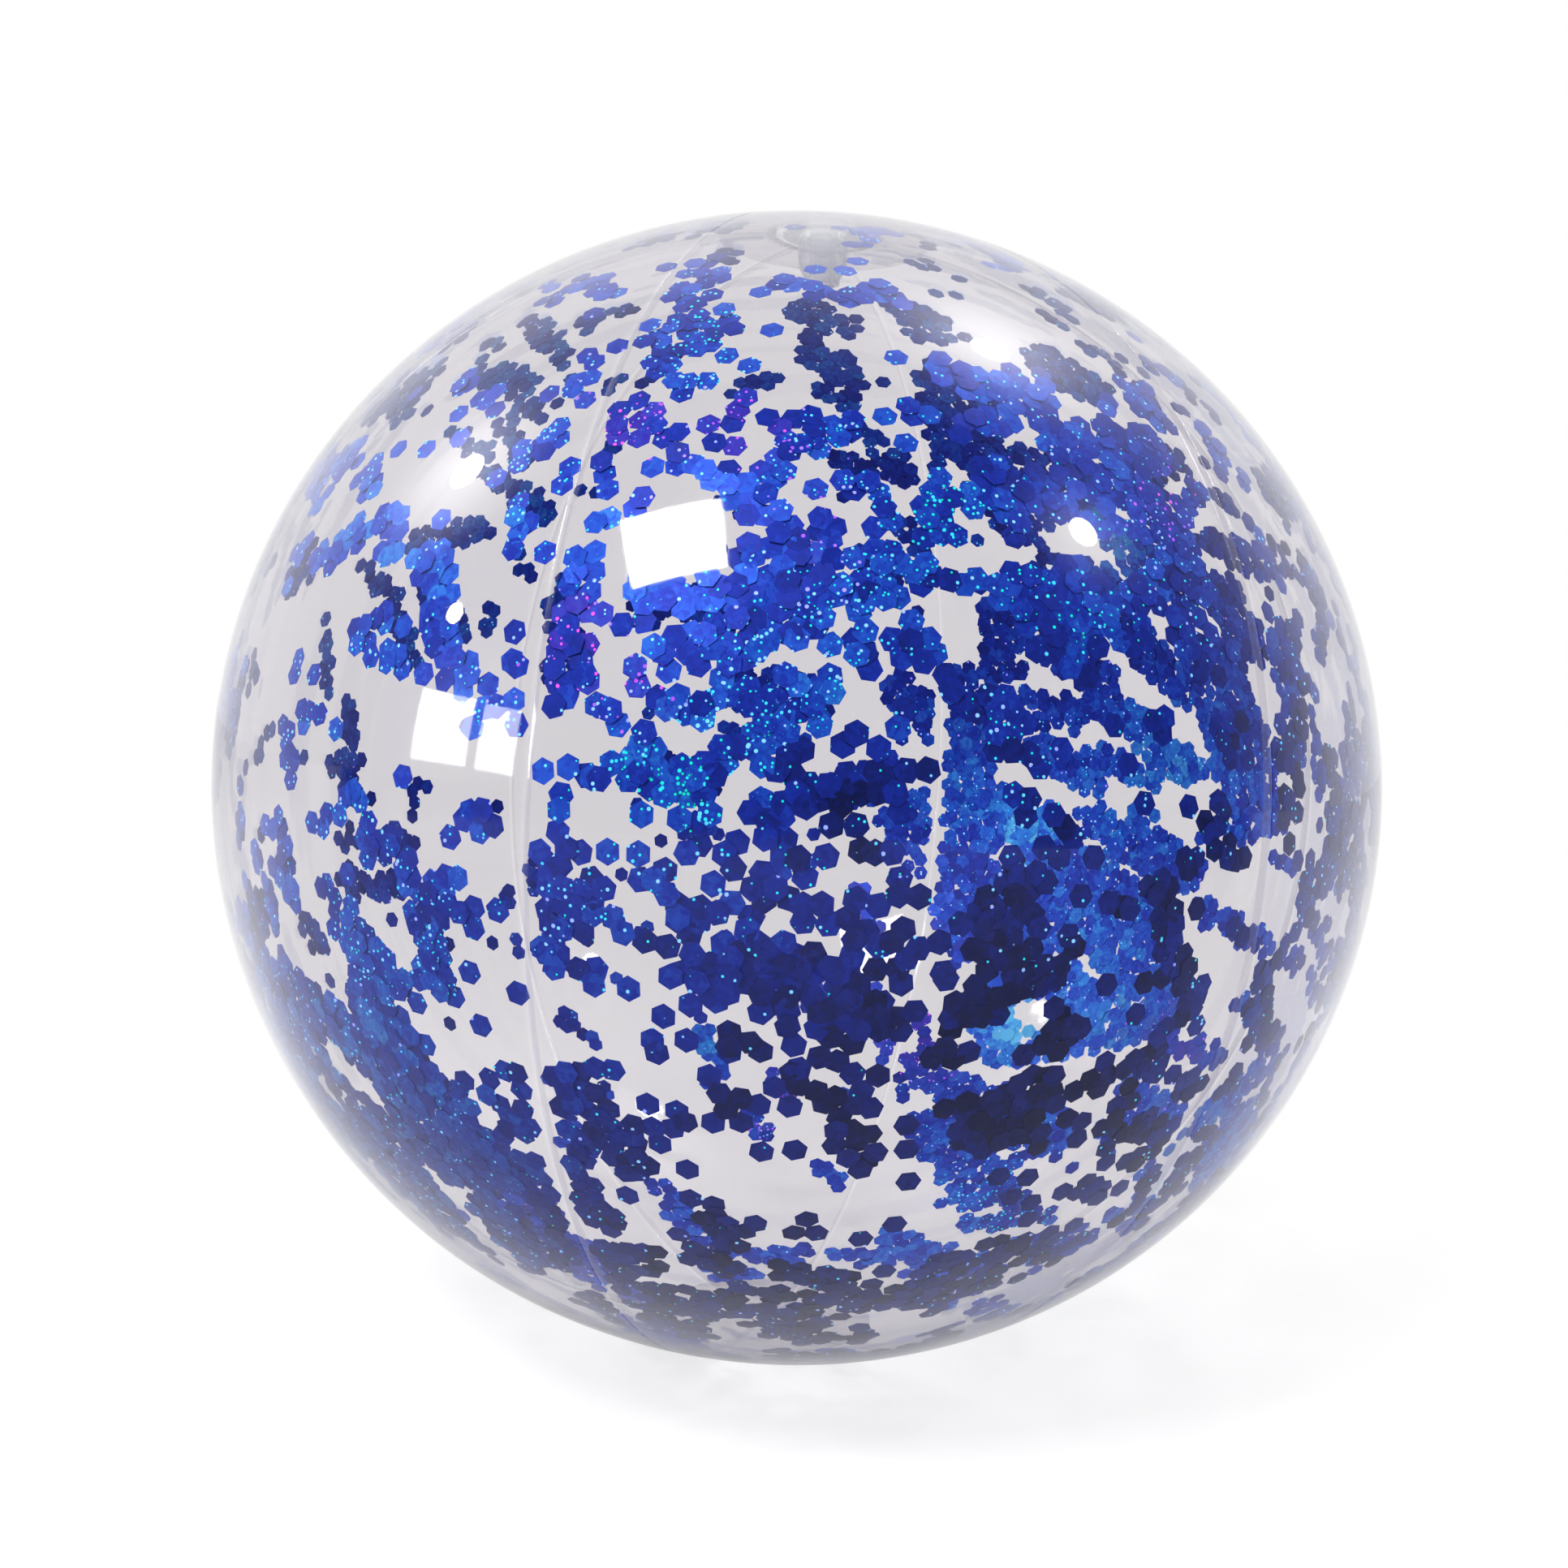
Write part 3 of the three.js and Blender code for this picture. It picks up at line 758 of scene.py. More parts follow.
# A drift is (x, y, x, y, half width) in the photograph's pixels, on the near or the far wall
nearDrifts = [
    (447, 595, 447, 598, 18), (395, 690, 450, 648, 14), (480, 640, 482, 672, 18), (368, 665, 347, 725, 9),
    (640, 560, 685, 535, 12), (645, 625, 632, 662, 13), (535, 690, 540, 740, 26), (705, 690, 715, 740, 20),
    (735, 440, 716, 485, 12), (570, 470, 565, 480, 8), (595, 500, 612, 482, 12), (725, 365, 758, 360, 7),
    (838, 356, 868, 352, 20), (840, 402, 900, 396, 19), (862, 420, 885, 430, 12), (775, 428, 812, 422, 9),
    (805, 450, 850, 432, 11), (815, 475, 870, 465, 12), (832, 492, 852, 482, 10), (752, 505, 775, 535, 16),
    (790, 500, 830, 540, 18), (900, 512, 945, 512, 9), (990, 505, 1000, 540, 14),
    (1010, 545, 1045, 520, 12), (955, 553, 985, 550, 10), (880, 548, 898, 552, 9), (825, 550, 850, 575, 11),
    (778, 590, 785, 622, 10), (725, 560, 755, 590, 14), (873, 582, 900, 605, 14), (925, 590, 965, 595, 12),
    (920, 615, 960, 642, 16), (1025, 595, 1095, 610, 13), (1150, 615, 1155, 645, 27),
    (1015, 625, 1022, 655, 12), (975, 680, 1020, 690, 20), (940, 670, 910, 695, 16),
    (1085, 660, 1105, 695, 16), (735, 610, 740, 640, 12), (790, 728, 900, 724, 18),
    (930, 720, 985, 725, 27), (1010, 727, 1090, 720, 16), (1180, 715, 1205, 715, 12),
    (954, 347, 1007, 352, 7), (1000, 362, 1050, 365, 10), (1050, 362, 1095, 352, 9),
    (1090, 362, 1120, 375, 8), (1145, 440, 1165, 460, 12), (1125, 500, 1155, 512, 10),
    (1200, 470, 1280, 480, 20), (1200, 522, 1290, 505, 20), (1340, 540, 1425, 560, 26),
    (1290, 530, 1335, 565, 18), (1210, 590, 1310, 610, 30), (1380, 600, 1450, 640, 26),
    (1467, 603, 1470, 606, 15), (1440, 650, 1470, 730, 22), (1245, 720, 1340, 720, 22),
    (1412, 715, 1448, 720, 17), (1405, 490, 1432, 515, 15), (1265, 745, 1380, 780, 32),
    (1400, 735, 1450, 760, 18), (1470, 745, 1490, 775, 9), (1452, 790, 1515, 810, 11),
    (1480, 830, 1512, 818, 12), (1215, 865, 1245, 890, 22), (1235, 905, 1262, 930, 17),
    (1430, 893, 1442, 878, 15), (1495, 890, 1520, 890, 11), (1512, 920, 1518, 950, 10),
    (1245, 980, 1270, 1005, 11), (1490, 1015, 1508, 992, 15), (1497, 1050, 1535, 1062, 13),
    (1310, 1000, 1320, 1040, 12), (1280, 1050, 1312, 1057, 13), (1440, 1085, 1472, 1055, 11),
    (1430, 1100, 1465, 1118, 15), (1255, 1090, 1258, 1130, 31), (1240, 1155, 1262, 1210, 40),
    (1442, 1140, 1455, 1220, 19), (1550, 750, 1595, 775, 8), (1583, 890, 1582, 950, 7),
    (1608, 1060, 1605, 1095, 6), (1637, 1040, 1630, 1090, 6), (1596, 1155, 1614, 1135, 5),
    (1577, 1165, 1553, 1225, 7), (1485, 525, 1535, 588, 6), (1392, 418, 1448, 470, 5),
    (768, 765, 812, 768, 12), (840, 782, 890, 770, 24), (820, 815, 870, 825, 17), (915, 755, 990, 765, 20),
    (920, 785, 960, 805, 13), (898, 825, 935, 828, 12), (800, 850, 845, 872, 18), (910, 858, 1005, 850, 29),
    (930, 885, 935, 930, 15), (965, 900, 985, 925, 14), (860, 945, 910, 920, 15), (800, 950, 855, 962, 30),
    (765, 935, 805, 910, 13), (725, 955, 755, 955, 12), (950, 925, 985, 960, 17), (990, 975, 1080, 965, 22),
    (1010, 1015, 1060, 1010, 14), (1052, 1035, 1070, 1052, 16), (920, 1000, 975, 995, 15),
    (838, 1040, 870, 1048, 13), (905, 1045, 900, 1085, 11), (955, 1045, 995, 1055, 12),
    (808, 1075, 828, 1108, 12), (935, 1085, 950, 1105, 20), (728, 1090, 750, 1130, 20),
    (762, 1130, 785, 1152, 11), (872, 1135, 885, 1145, 16), (835, 1165, 850, 1195, 24),
    (890, 1185, 940, 1190, 22), (980, 1118, 1005, 1135, 12), (1040, 1125, 1055, 1145, 18),
    (970, 1170, 1000, 1195, 26), (1105, 1160, 1155, 1165, 16), (1060, 1200, 1110, 1200, 11),
    (1100, 1080, 1115, 1105, 13), (1042, 910, 1072, 925, 12), (1088, 932, 1118, 960, 13),
    (1105, 858, 1115, 900, 12), (1160, 815, 1165, 875, 15), (1145, 945, 1158, 955, 12),
    (438, 790, 468, 762, 13), (460, 795, 488, 815, 10), (535, 735, 545, 815, 23), (566, 832, 572, 845, 19),
    (592, 862, 625, 870, 9), (630, 870, 645, 898, 13), (702, 725, 690, 852, 27), (376, 882, 410, 897, 8),
    (350, 900, 353, 935, 8), (572, 988, 600, 1018, 10), (392, 1010, 435, 980, 13),
    (458, 1035, 475, 1042, 21), (502, 1072, 530, 1095, 13), (555, 1068, 555, 1122, 10),
    (520, 1122, 535, 1200, 22), (398, 1090, 440, 1150, 13), (422, 1142, 480, 1205, 22),
    (336, 1012, 355, 1100, 11), (292, 1002, 330, 1140, 11), (700, 970, 690, 1015, 12),
    (695, 1042, 720, 1045, 12), (672, 1070, 692, 1135, 28), (372, 1232, 440, 1280, 21),
    (442, 1222, 480, 1270, 23), (500, 1270, 525, 1287, 10), (470, 1312, 525, 1370, 32),
    (562, 1330, 575, 1372, 15), (605, 1335, 615, 1372, 14), (622, 1330, 645, 1335, 10),
    (630, 1378, 660, 1392, 13), (558, 1398, 590, 1405, 12), (495, 1395, 580, 1450, 26),
    (600, 1430, 680, 1455, 23), (540, 1472, 640, 1542, 33), (662, 1482, 690, 1508, 10),
    (690, 1530, 718, 1550, 12), (692, 1330, 735, 1322, 17), (690, 1362, 720, 1352, 15),
    (722, 1410, 765, 1390, 21), (706, 1430, 720, 1460, 13), (715, 1490, 748, 1505, 18),
    (742, 1540, 800, 1560, 15), (345, 1232, 440, 1390, 18), (450, 1400, 600, 1560, 20),
    (620, 1570, 740, 1602, 14), (900, 1215, 1055, 1222, 29), (903, 1275, 925, 1285, 19),
    (1020, 1270, 1080, 1262, 19), (1088, 1205, 1112, 1205, 10), (1195, 1225, 1200, 1245, 20),
    (812, 1262, 803, 1303, 12), (1010, 1300, 1030, 1330, 13), (1160, 1290, 1180, 1305, 23),
    (898, 1345, 910, 1376, 14), (1000, 1355, 1045, 1372, 14), (1035, 1390, 1058, 1425, 22),
    (740, 1380, 775, 1430, 25), (728, 1485, 750, 1510, 17), (885, 1510, 900, 1530, 20),
    (960, 1522, 1008, 1525, 10), (852, 1547, 905, 1570, 13), (965, 1570, 1050, 1580, 13),
    (1132, 1568, 1188, 1548, 8), (740, 1600, 1000, 1622, 10), (1000, 1612, 1210, 1600, 10),
    (840, 1645, 1120, 1652, 7), (1245, 1220, 1285, 1235, 22), (1275, 1268, 1308, 1278, 18),
    (1430, 1215, 1470, 1225, 18), (1437, 1270, 1478, 1246, 11), (1195, 1385, 1270, 1358, 34),
    (1242, 1390, 1278, 1404, 12), (1310, 1345, 1330, 1380, 15), (1332, 1335, 1425, 1306, 17),
    (1365, 1385, 1390, 1355, 12), (1372, 1410, 1425, 1385, 13), (1318, 1472, 1322, 1466, 12),
    (1342, 1480, 1360, 1465, 7), (1240, 1542, 1270, 1530, 7), (1460, 1343, 1480, 1347, 9),
    (1497, 1345, 1530, 1325, 10), (1556, 1205, 1557, 1260, 7), (1210, 1575, 1300, 1560, 12),
    (1040, 742, 1095, 745, 11), (1110, 792, 1160, 800, 13), (1050, 792, 1070, 815, 9),
    (730, 868, 790, 902, 14), (1040, 1250, 1110, 1258, 17), (960, 1255, 1008, 1272, 13),
    (730, 1185, 790, 1195, 13), (650, 1160, 695, 1190, 11), (1525, 1240, 1590, 1285, 8),
    (820, 1115, 848, 1150, 11), (892, 1112, 920, 1130, 10), (1205, 620, 1260, 650, 13),
    (1355, 650, 1420, 665, 13), (1290, 800, 1345, 825, 12), (690, 700, 720, 720, 11),
    (960, 1330, 1010, 1345, 10), (1375, 1440, 1420, 1415, 8), (900, 1590, 960, 1600, 9),
    (1040, 1585, 1100, 1600, 9), (960, 1500, 1010, 1505, 9), (560, 1480, 640, 1560, 22),
    (640, 1540, 730, 1590, 22), (730, 1580, 860, 1610, 18), (860, 1610, 1000, 1630, 14),
    (1000, 1600, 1200, 1590, 15), (480, 1380, 560, 1470, 24), (1215, 1545, 1320, 1530, 12),
    (1440, 1330, 1500, 1345, 10), (1600, 870, 1598, 1000, 9), (1640, 930, 1645, 1080, 7),
    (1615, 1060, 1612, 1130, 8), (1590, 800, 1610, 860, 8), (1530, 1150, 1560, 1230, 10),
    (1540, 640, 1580, 720, 6), (1380, 1390, 1440, 1400, 9), (340, 1180, 400, 1280, 14),
    (700, 1610, 800, 1640, 9), (1180, 1560, 1290, 1540, 10), (955, 1195, 1050, 1245, 30),
    (1100, 690, 1160, 720, 11), (1225, 1150, 1275, 1215, 40), (590, 1500, 660, 1560, 16),
    (1540, 1255, 1580, 1300, 8),
]
farDrifts = [
    (655, 392, 690, 435, 17), (595, 465, 645, 470, 17), (640, 495, 665, 508, 9), (625, 525, 638, 565, 13),
    (610, 590, 690, 640, 13), (515, 668, 590, 652, 14), (452, 702, 464, 722, 9), (485, 515, 515, 487, 9),
    (580, 440, 608, 420, 11), (985, 382, 1050, 405, 14), (1010, 400, 1002, 430, 15),
    (985, 440, 1030, 447, 10), (1032, 445, 1050, 480, 17), (1010, 487, 1042, 490, 9),
    (905, 482, 960, 464, 8), (1105, 382, 1160, 395, 12), (1120, 402, 1170, 420, 11),
    (1142, 478, 1205, 502, 24), (1152, 525, 1215, 565, 24), (1055, 530, 1082, 540, 10),
    (1035, 570, 1105, 570, 14), (1110, 590, 1150, 570, 12), (1112, 645, 1138, 675, 12),
    (755, 470, 795, 462, 10), (735, 550, 750, 555, 10), (1280, 442, 1350, 480, 18),
    (1370, 432, 1405, 470, 11), (1230, 560, 1330, 600, 22), (1350, 590, 1420, 600, 18),
    (1510, 612, 1535, 625, 12), (1490, 665, 1560, 700, 16), (1230, 760, 1235, 820, 26),
    (1290, 700, 1380, 720, 22), (1412, 805, 1465, 850, 22), (1500, 725, 1545, 800, 22),
    (1495, 850, 1540, 1010, 30), (1360, 860, 1400, 892, 20), (1262, 870, 1325, 880, 20),
    (1415, 915, 1470, 955, 20), (1190, 850, 1200, 1060, 32), (1402, 1020, 1465, 1075, 22),
    (1235, 990, 1300, 1065, 28), (1300, 1080, 1420, 1215, 42), (1485, 1125, 1560, 1165, 14),
    (1580, 790, 1620, 950, 16), (1575, 1062, 1598, 1072, 8), (1575, 1170, 1610, 1200, 12),
    (480, 725, 508, 815, 9), (400, 758, 402, 852, 5), (432, 870, 432, 955, 8), (415, 945, 445, 985, 11),
    (430, 1030, 500, 1040, 15), (430, 1085, 490, 1095, 17), (502, 990, 522, 966, 8),
    (625, 1115, 635, 1062, 7), (378, 1140, 395, 1165, 9), (600, 780, 605, 745, 6),
    (805, 1458, 830, 1480, 10), (832, 1490, 868, 1520, 15), (910, 1545, 990, 1550, 11),
    (902, 1565, 950, 1590, 12), (1018, 1545, 1092, 1550, 9), (1105, 1535, 1168, 1560, 20),
    (1145, 1395, 1200, 1465, 28), (955, 1325, 978, 1358, 9), (860, 1258, 890, 1320, 10),
    (1092, 1270, 1105, 1350, 11), (1135, 1250, 1145, 1315, 10), (1145, 1330, 1185, 1380, 15),
    (930, 1380, 940, 1400, 11), (1240, 1270, 1420, 1240, 44), (1450, 1290, 1498, 1300, 14),
    (1395, 1335, 1435, 1370, 16), (1365, 1395, 1455, 1365, 12), (1200, 1430, 1230, 1470, 20),
    (1245, 1430, 1298, 1405, 11), (1195, 1510, 1290, 1498, 9), (1215, 1560, 1335, 1525, 16),
    (1475, 1385, 1530, 1340, 14), (1360, 1545, 1400, 1510, 12), (960, 1075, 1000, 1060, 10),
    (890, 1160, 905, 1165, 10), (790, 1140, 800, 1150, 6), (1000, 880, 1030, 860, 8),
    (1350, 640, 1420, 700, 20), (1200, 610, 1270, 660, 16), (1270, 770, 1350, 830, 26),
    (1110, 850, 1180, 920, 20), (1125, 1000, 1185, 1160, 27), (1280, 920, 1350, 960, 17),
    (1350, 930, 1420, 960, 13), (1500, 830, 1560, 1000, 32), (1285, 1010, 1330, 1060, 20),
    (1350, 1010, 1420, 1062, 20), (1365, 1090, 1420, 1150, 28), (1285, 1170, 1340, 1230, 26),
    (640, 1165, 700, 1190, 8), (1090, 1010, 1110, 1050, 10), (1530, 1240, 1575, 1290, 12),
    (1000, 1440, 1040, 1460, 8), (1430, 1500, 1555, 1365, 14), (1560, 1350, 1620, 1225, 12),
    (1375, 1542, 1440, 1492, 12), (1320, 1572, 1390, 1545, 9), (1100, 1255, 1130, 1330, 10),
    (1190, 1385, 1255, 1480, 16), (1400, 1440, 1450, 1400, 10), (1600, 1100, 1640, 1180, 10),
    (1060, 1100, 1085, 1180, 9), (690, 1250, 740, 1290, 7), (720, 400, 770, 380, 8),
    (560, 540, 600, 560, 8), (640, 690, 665, 720, 8), (560, 750, 575, 790, 7), (900, 900, 930, 905, 8),
    (855, 1010, 880, 1025, 8),
    # behind drifts of the near wall
    (1225, 1100, 1250, 1230, 34), (950, 1195, 1060, 1240, 32), (1195, 1360, 1290, 1395, 34),
    (470, 1290, 560, 1400, 34), (560, 1400, 660, 1500, 34), (640, 1500, 740, 1570, 22),
    (715, 1390, 765, 1435, 22), (690, 1325, 735, 1350, 16), (385, 1235, 450, 1300, 18),
    (905, 850, 1000, 860, 24), (800, 745, 985, 735, 20), (695, 735, 695, 840, 20), (530, 700, 545, 800, 16),
    (1215, 600, 1300, 625, 24), (800, 950, 860, 960, 24), (670, 1080, 700, 1130, 22),
    (520, 1130, 540, 1195, 16), (1000, 980, 1075, 970, 18), (1060, 690, 1110, 710, 16),
    (1370, 550, 1440, 570, 20), (1440, 660, 1470, 710, 18), (1130, 1560, 1200, 1580, 14),
    (850, 1560, 900, 1580, 14),
]
nearSingles = [
    (487, 550), (437, 565), (459, 565), (400, 603), (565, 475), (562, 506), (522, 550), (540, 637),
    (700, 572), (690, 594), (669, 678), (937, 356), (800, 397), (759, 422), (951, 403), (923, 447),
    (1105, 437), (872, 520), (961, 523), (1091, 510), (1117, 543), (803, 573), (1005, 600), (1052, 685),
    (1142, 692), (731, 678), (1005, 328), (1057, 318), (887, 330), (820, 324), (1366, 501), (1422, 547),
    (1534, 672), (1234, 737), (1450, 848), (1393, 942), (1310, 923), (1283, 945), (1540, 935), (1413, 990),
    (1468, 994), (1248, 1057), (1350, 1057), (1291, 1088), (1334, 1105), (1369, 1113), (1395, 1121),
    (1319, 1154), (1366, 1215), (1610, 840), (1605, 890), (1603, 960), (1586, 980), (1585, 1010),
    (1592, 1040), (1643, 945), (1647, 985), (1643, 1015), (740, 755), (804, 795), (781, 820), (982, 786),
    (1014, 759), (1065, 740), (1067, 776), (1124, 764), (1145, 786), (1023, 793), (1056, 805), (880, 861),
    (865, 885), (1010, 893), (789, 1004), (836, 1009), (874, 1003), (747, 1050), (785, 1053), (1018, 1056),
    (992, 1081), (1100, 1051), (1110, 1000), (878, 1090), (834, 1131), (920, 1147), (1083, 1117),
    (1084, 1167), (1050, 1180), (1034, 1200), (1163, 1200), (518, 829), (628, 813), (723, 839), (358, 829),
    (382, 830), (353, 960), (492, 957), (551, 1032), (568, 1010), (423, 1078), (580, 1120), (610, 1123),
    (580, 1145), (667, 950), (698, 945), (727, 958), (665, 1170), (575, 1200), (492, 1217), (510, 1238),
    (556, 1230), (589, 1266), (635, 1226), (617, 1403), (696, 1395), (730, 1215), (773, 1220), (825, 1205),
    (850, 1240), (882, 1235), (1087, 1237), (1167, 1208), (1173, 1256), (845, 1284), (898, 1298),
    (978, 1290), (984, 1319), (1051, 1325), (1062, 1347), (1073, 1368), (873, 1328), (934, 1364),
    (878, 1386), (973, 1366), (1079, 1423), (938, 1422), (979, 1420), (1118, 1389), (1118, 1419),
    (1120, 1459), (797, 1363), (833, 1372), (803, 1392), (779, 1403), (812, 1412), (846, 1444), (772, 1476),
    (850, 1480), (930, 1511), (1103, 1512), (1061, 1530), (1090, 1570), (1231, 1252), (1334, 1269),
    (1402, 1252), (1263, 1302), (1301, 1328), (1329, 1406), (1365, 1435), (1448, 1389), (1212, 1420),
    (1232, 1453), (1268, 1454), (1248, 1478), (1272, 1485), (1268, 1506), (1382, 1467), (1295, 1522),
    (1325, 1513), (1540, 1287), (1573, 1272),
]
bareSpots = [(1273, 1250, 20), (802, 1365, 10), (1085, 1175, 12)]  # x, y, radius, free on both walls

# Patches that paint light and shade into the flakes' blue level, paint glints on them, shift their hue, or
# set how bare the edge-on wall is: (x, y, radius, amount)
paintedLightAndHue = {
    # painted light and shade: near flakes lighter to the left, darker to the lower middle and the right
    "nearTone": (0.48, [
        (470, 620, 170, 0.16), (420, 1300, 170, 0.12), (1000, 1370, 330, -0.2), (1320, 1080, 220, -0.27),
        (1290, 1370, 200, -0.26), (900, 1580, 260, -0.14), (1050, 1000, 80, -0.24), (1560, 950, 130, -0.18),
        (820, 925, 60, 0.2), (1020, 860, 50, 0.2), (840, 740, 60, 0.12), (590, 1470, 150, 0.1)]),
    # painted light: far flakes made lighter in patches
    "farTone": (0.42, [
        (600, 480, 240, 0.26), (1080, 410, 160, 0.18), (1350, 450, 140, 0.16), (420, 820, 150, 0.16),
        (1520, 1420, 190, 0.24), (1000, 1560, 200, 0.1), (1190, 960, 80, 0.2), (1330, 1160, 140, 0.16),
        (1450, 940, 110, 0.3), (1266, 1015, 40, 0.4), (1240, 1268, 45, 0.4), (1360, 1260, 120, 0.14),
        (1180, 1430, 80, 0.1), (900, 1530, 90, 0.1), (1130, 1550, 90, 0.1), (980, 1340, 70, 0.15),
        (880, 1290, 50, 0.3), (1370, 668, 45, 0.45)]),
    # painted glints: where the flakes get glowing dots
    "nearSparkle": (0.2, [
        (880, 410, 60, 0.5), (1150, 630, 60, 0.7), (960, 850, 85, 0.8), (830, 950, 75, 0.8),
        (650, 640, 50, 0.7), (535, 1150, 60, 0.5), (690, 1110, 60, 0.5), (770, 510, 60, 0.5),
        (1000, 550, 80, 0.55), (1100, 690, 80, 0.5), (1450, 640, 70, 0.45), (1300, 750, 90, 0.25),
        (430, 1180, 70, 0.4), (620, 880, 50, 0.5), (460, 1040, 50, 0.4), (1060, 760, 60, 0.5),
        (840, 470, 50, 0.5), (700, 800, 70, 0.35), (640, 550, 50, 0.6), (380, 850, 90, 0.4),
        (760, 900, 60, 0.5), (1250, 900, 60, 0.3), (1000, 1420, 320, -0.16), (1320, 1350, 220, -0.14)]),
    "farSparkle": (0.08, [
        (1250, 1505, 70, 0.6), (1320, 1000, 120, 0.2), (1130, 1300, 80, 0.3), (935, 1390, 30, 0.7)]),
    "nearHue": (0.45, [
        (770, 515, 60, 0.4), (920, 515, 60, 0.45), (700, 790, 70, 0.4), (800, 870, 50, 0.35),
        (1030, 640, 50, 0.3), (1440, 620, 50, 0.3), (830, 950, 80, -0.35), (870, 410, 60, -0.25),
        (1150, 630, 60, -0.3), (1300, 760, 90, -0.25)]),
    "edgeBare": (0.27, [
        (1690, 900, 300, -0.15), (1500, 1500, 250, -0.13), (960, 1690, 300, -0.13), (420, 1500, 250, -0.1),
        (270, 1050, 200, -0.06)]),
    "farHue": (0.5, [
        (1250, 1505, 70, -0.4), (1450, 1290, 60, 0.4), (960, 1340, 50, 0.45), (1140, 1280, 50, 0.4)]),
}


def patchField(pixels, name):
    base, patches = paintedLightAndHue[name]
    field = np.full(len(pixels), base)
    for x, y, radius, amount in patches:
        field += amount * np.exp(-((pixels[:, 0] - x) ** 2 + (pixels[:, 1] - y) ** 2) / radius ** 2)
    return field


def driftField(pixels, drifts):
    field = np.zeros(len(pixels))
    for x0, y0, x1, y1, half in drifts:
        start, run = np.array([x0, y0], float), np.array([x1 - x0, y1 - y0], float)
        share = np.clip(((pixels - start) @ run) / max(run @ run, 1e-9), 0, 1)
        away = np.linalg.norm(pixels - start - share[:, None] * run, axis=1)
        field = np.maximum(field, np.clip((half - away) / flakes["driftFade"] + 0.5, 0, 1))
    return field


# Where the wall is seen edge-on, drifts are broken up and others strewn between them
def edgeCover(points, pixels, facing, cover):
    edge = np.clip((flakes["edgeOn"] - np.abs(facing)) / flakes["edgeFade"], 0, 1)
    lumps = np.zeros(len(points))
    for i in np.flatnonzero(edge):
        spot = Vector(points[i])
        lumps[i] = noise.noise(spot / flakes["clumpSize"]) + 0.5 * noise.noise(spot / flakes["clumpDetail"])
    broken = cover * (1 - edge * np.clip(-flakes["clumpGap"] * lumps, 0, 1))
    strewn = edge * np.clip(flakes["clumpEdge"] * (lumps - patchField(pixels, "edgeBare")), 0, 1)
    return np.maximum(broken, strewn)


def wallFields(points):
    pixels = toPixels(points)
    sight = cameraPlace - points
    facing = np.einsum("ij,ij->i", outwardAt(points), sight) / np.linalg.norm(sight, axis=1)
    near = facing > 0
    cover = np.where(near, driftField(pixels, nearDrifts), driftField(pixels, farDrifts))
    cover = np.maximum(edgeCover(points, pixels, facing, cover), flakes["stray"])
    for x, y, radius in bareSpots:
        cover = cover * (np.hypot(pixels[:, 0] - x, pixels[:, 1] - y) > radius)
    fields = {"cover": cover}
    # the painted light and shade of the blue level, the painted glints and the hue, each from its wall's
    # patches
    for name in ("Tone", "Sparkle", "Hue"):
        nearField, farField = (patchField(pixels, side + name) for side in ("near", "far"))
        fields[name.lower()] = np.where(near, nearField, farField)
    return fields


foil = {
    "grainScale": 1900.0,
    "grainDetail": 2.0,
    "cellScale": 850.0,
    "pickShift": 0.34,  # from flake to flake
    "mottle": 0.16,
    "blues": [
        (0.0, (0.002, 0.009, 0.1)), (0.22, (0.004, 0.018, 0.25)), (0.45, (0.006, 0.032, 0.46)),
        (0.65, (0.012, 0.1, 0.68)), (0.85, (0.03, 0.29, 0.84)), (1.0, (0.12, 0.6, 0.95))],
    "violet": (0.05, 0.012, 0.42, 1),
    "violetPick": 0.5,
    "violetRange": (0.95, 1.2),
    "violetMost": 0.8,
    # painted glints: glowing coloured dots on the flakes
    "dotReach": 0.17,
    "dotSpread": 0.22,
    "dotEdge": 14.0,
    "glintChance": 0.55,
    "glintSpread": 0.6,
    "glints": [
        (0.0, (0.0, 0.62, 0.32)), (0.3, (0.0, 0.72, 0.62)), (0.5, (0.04, 0.62, 0.95)),
        (0.68, (0.25, 0.6, 1.0)), (0.82, (0.32, 0.08, 0.95)), (1.0, (0.75, 0.08, 0.8))],
    "glintGlow": 0.75,
    "metallic": 0.2,
    "specular": 0.15,
    "roughness": (0.3, 0.48),
}


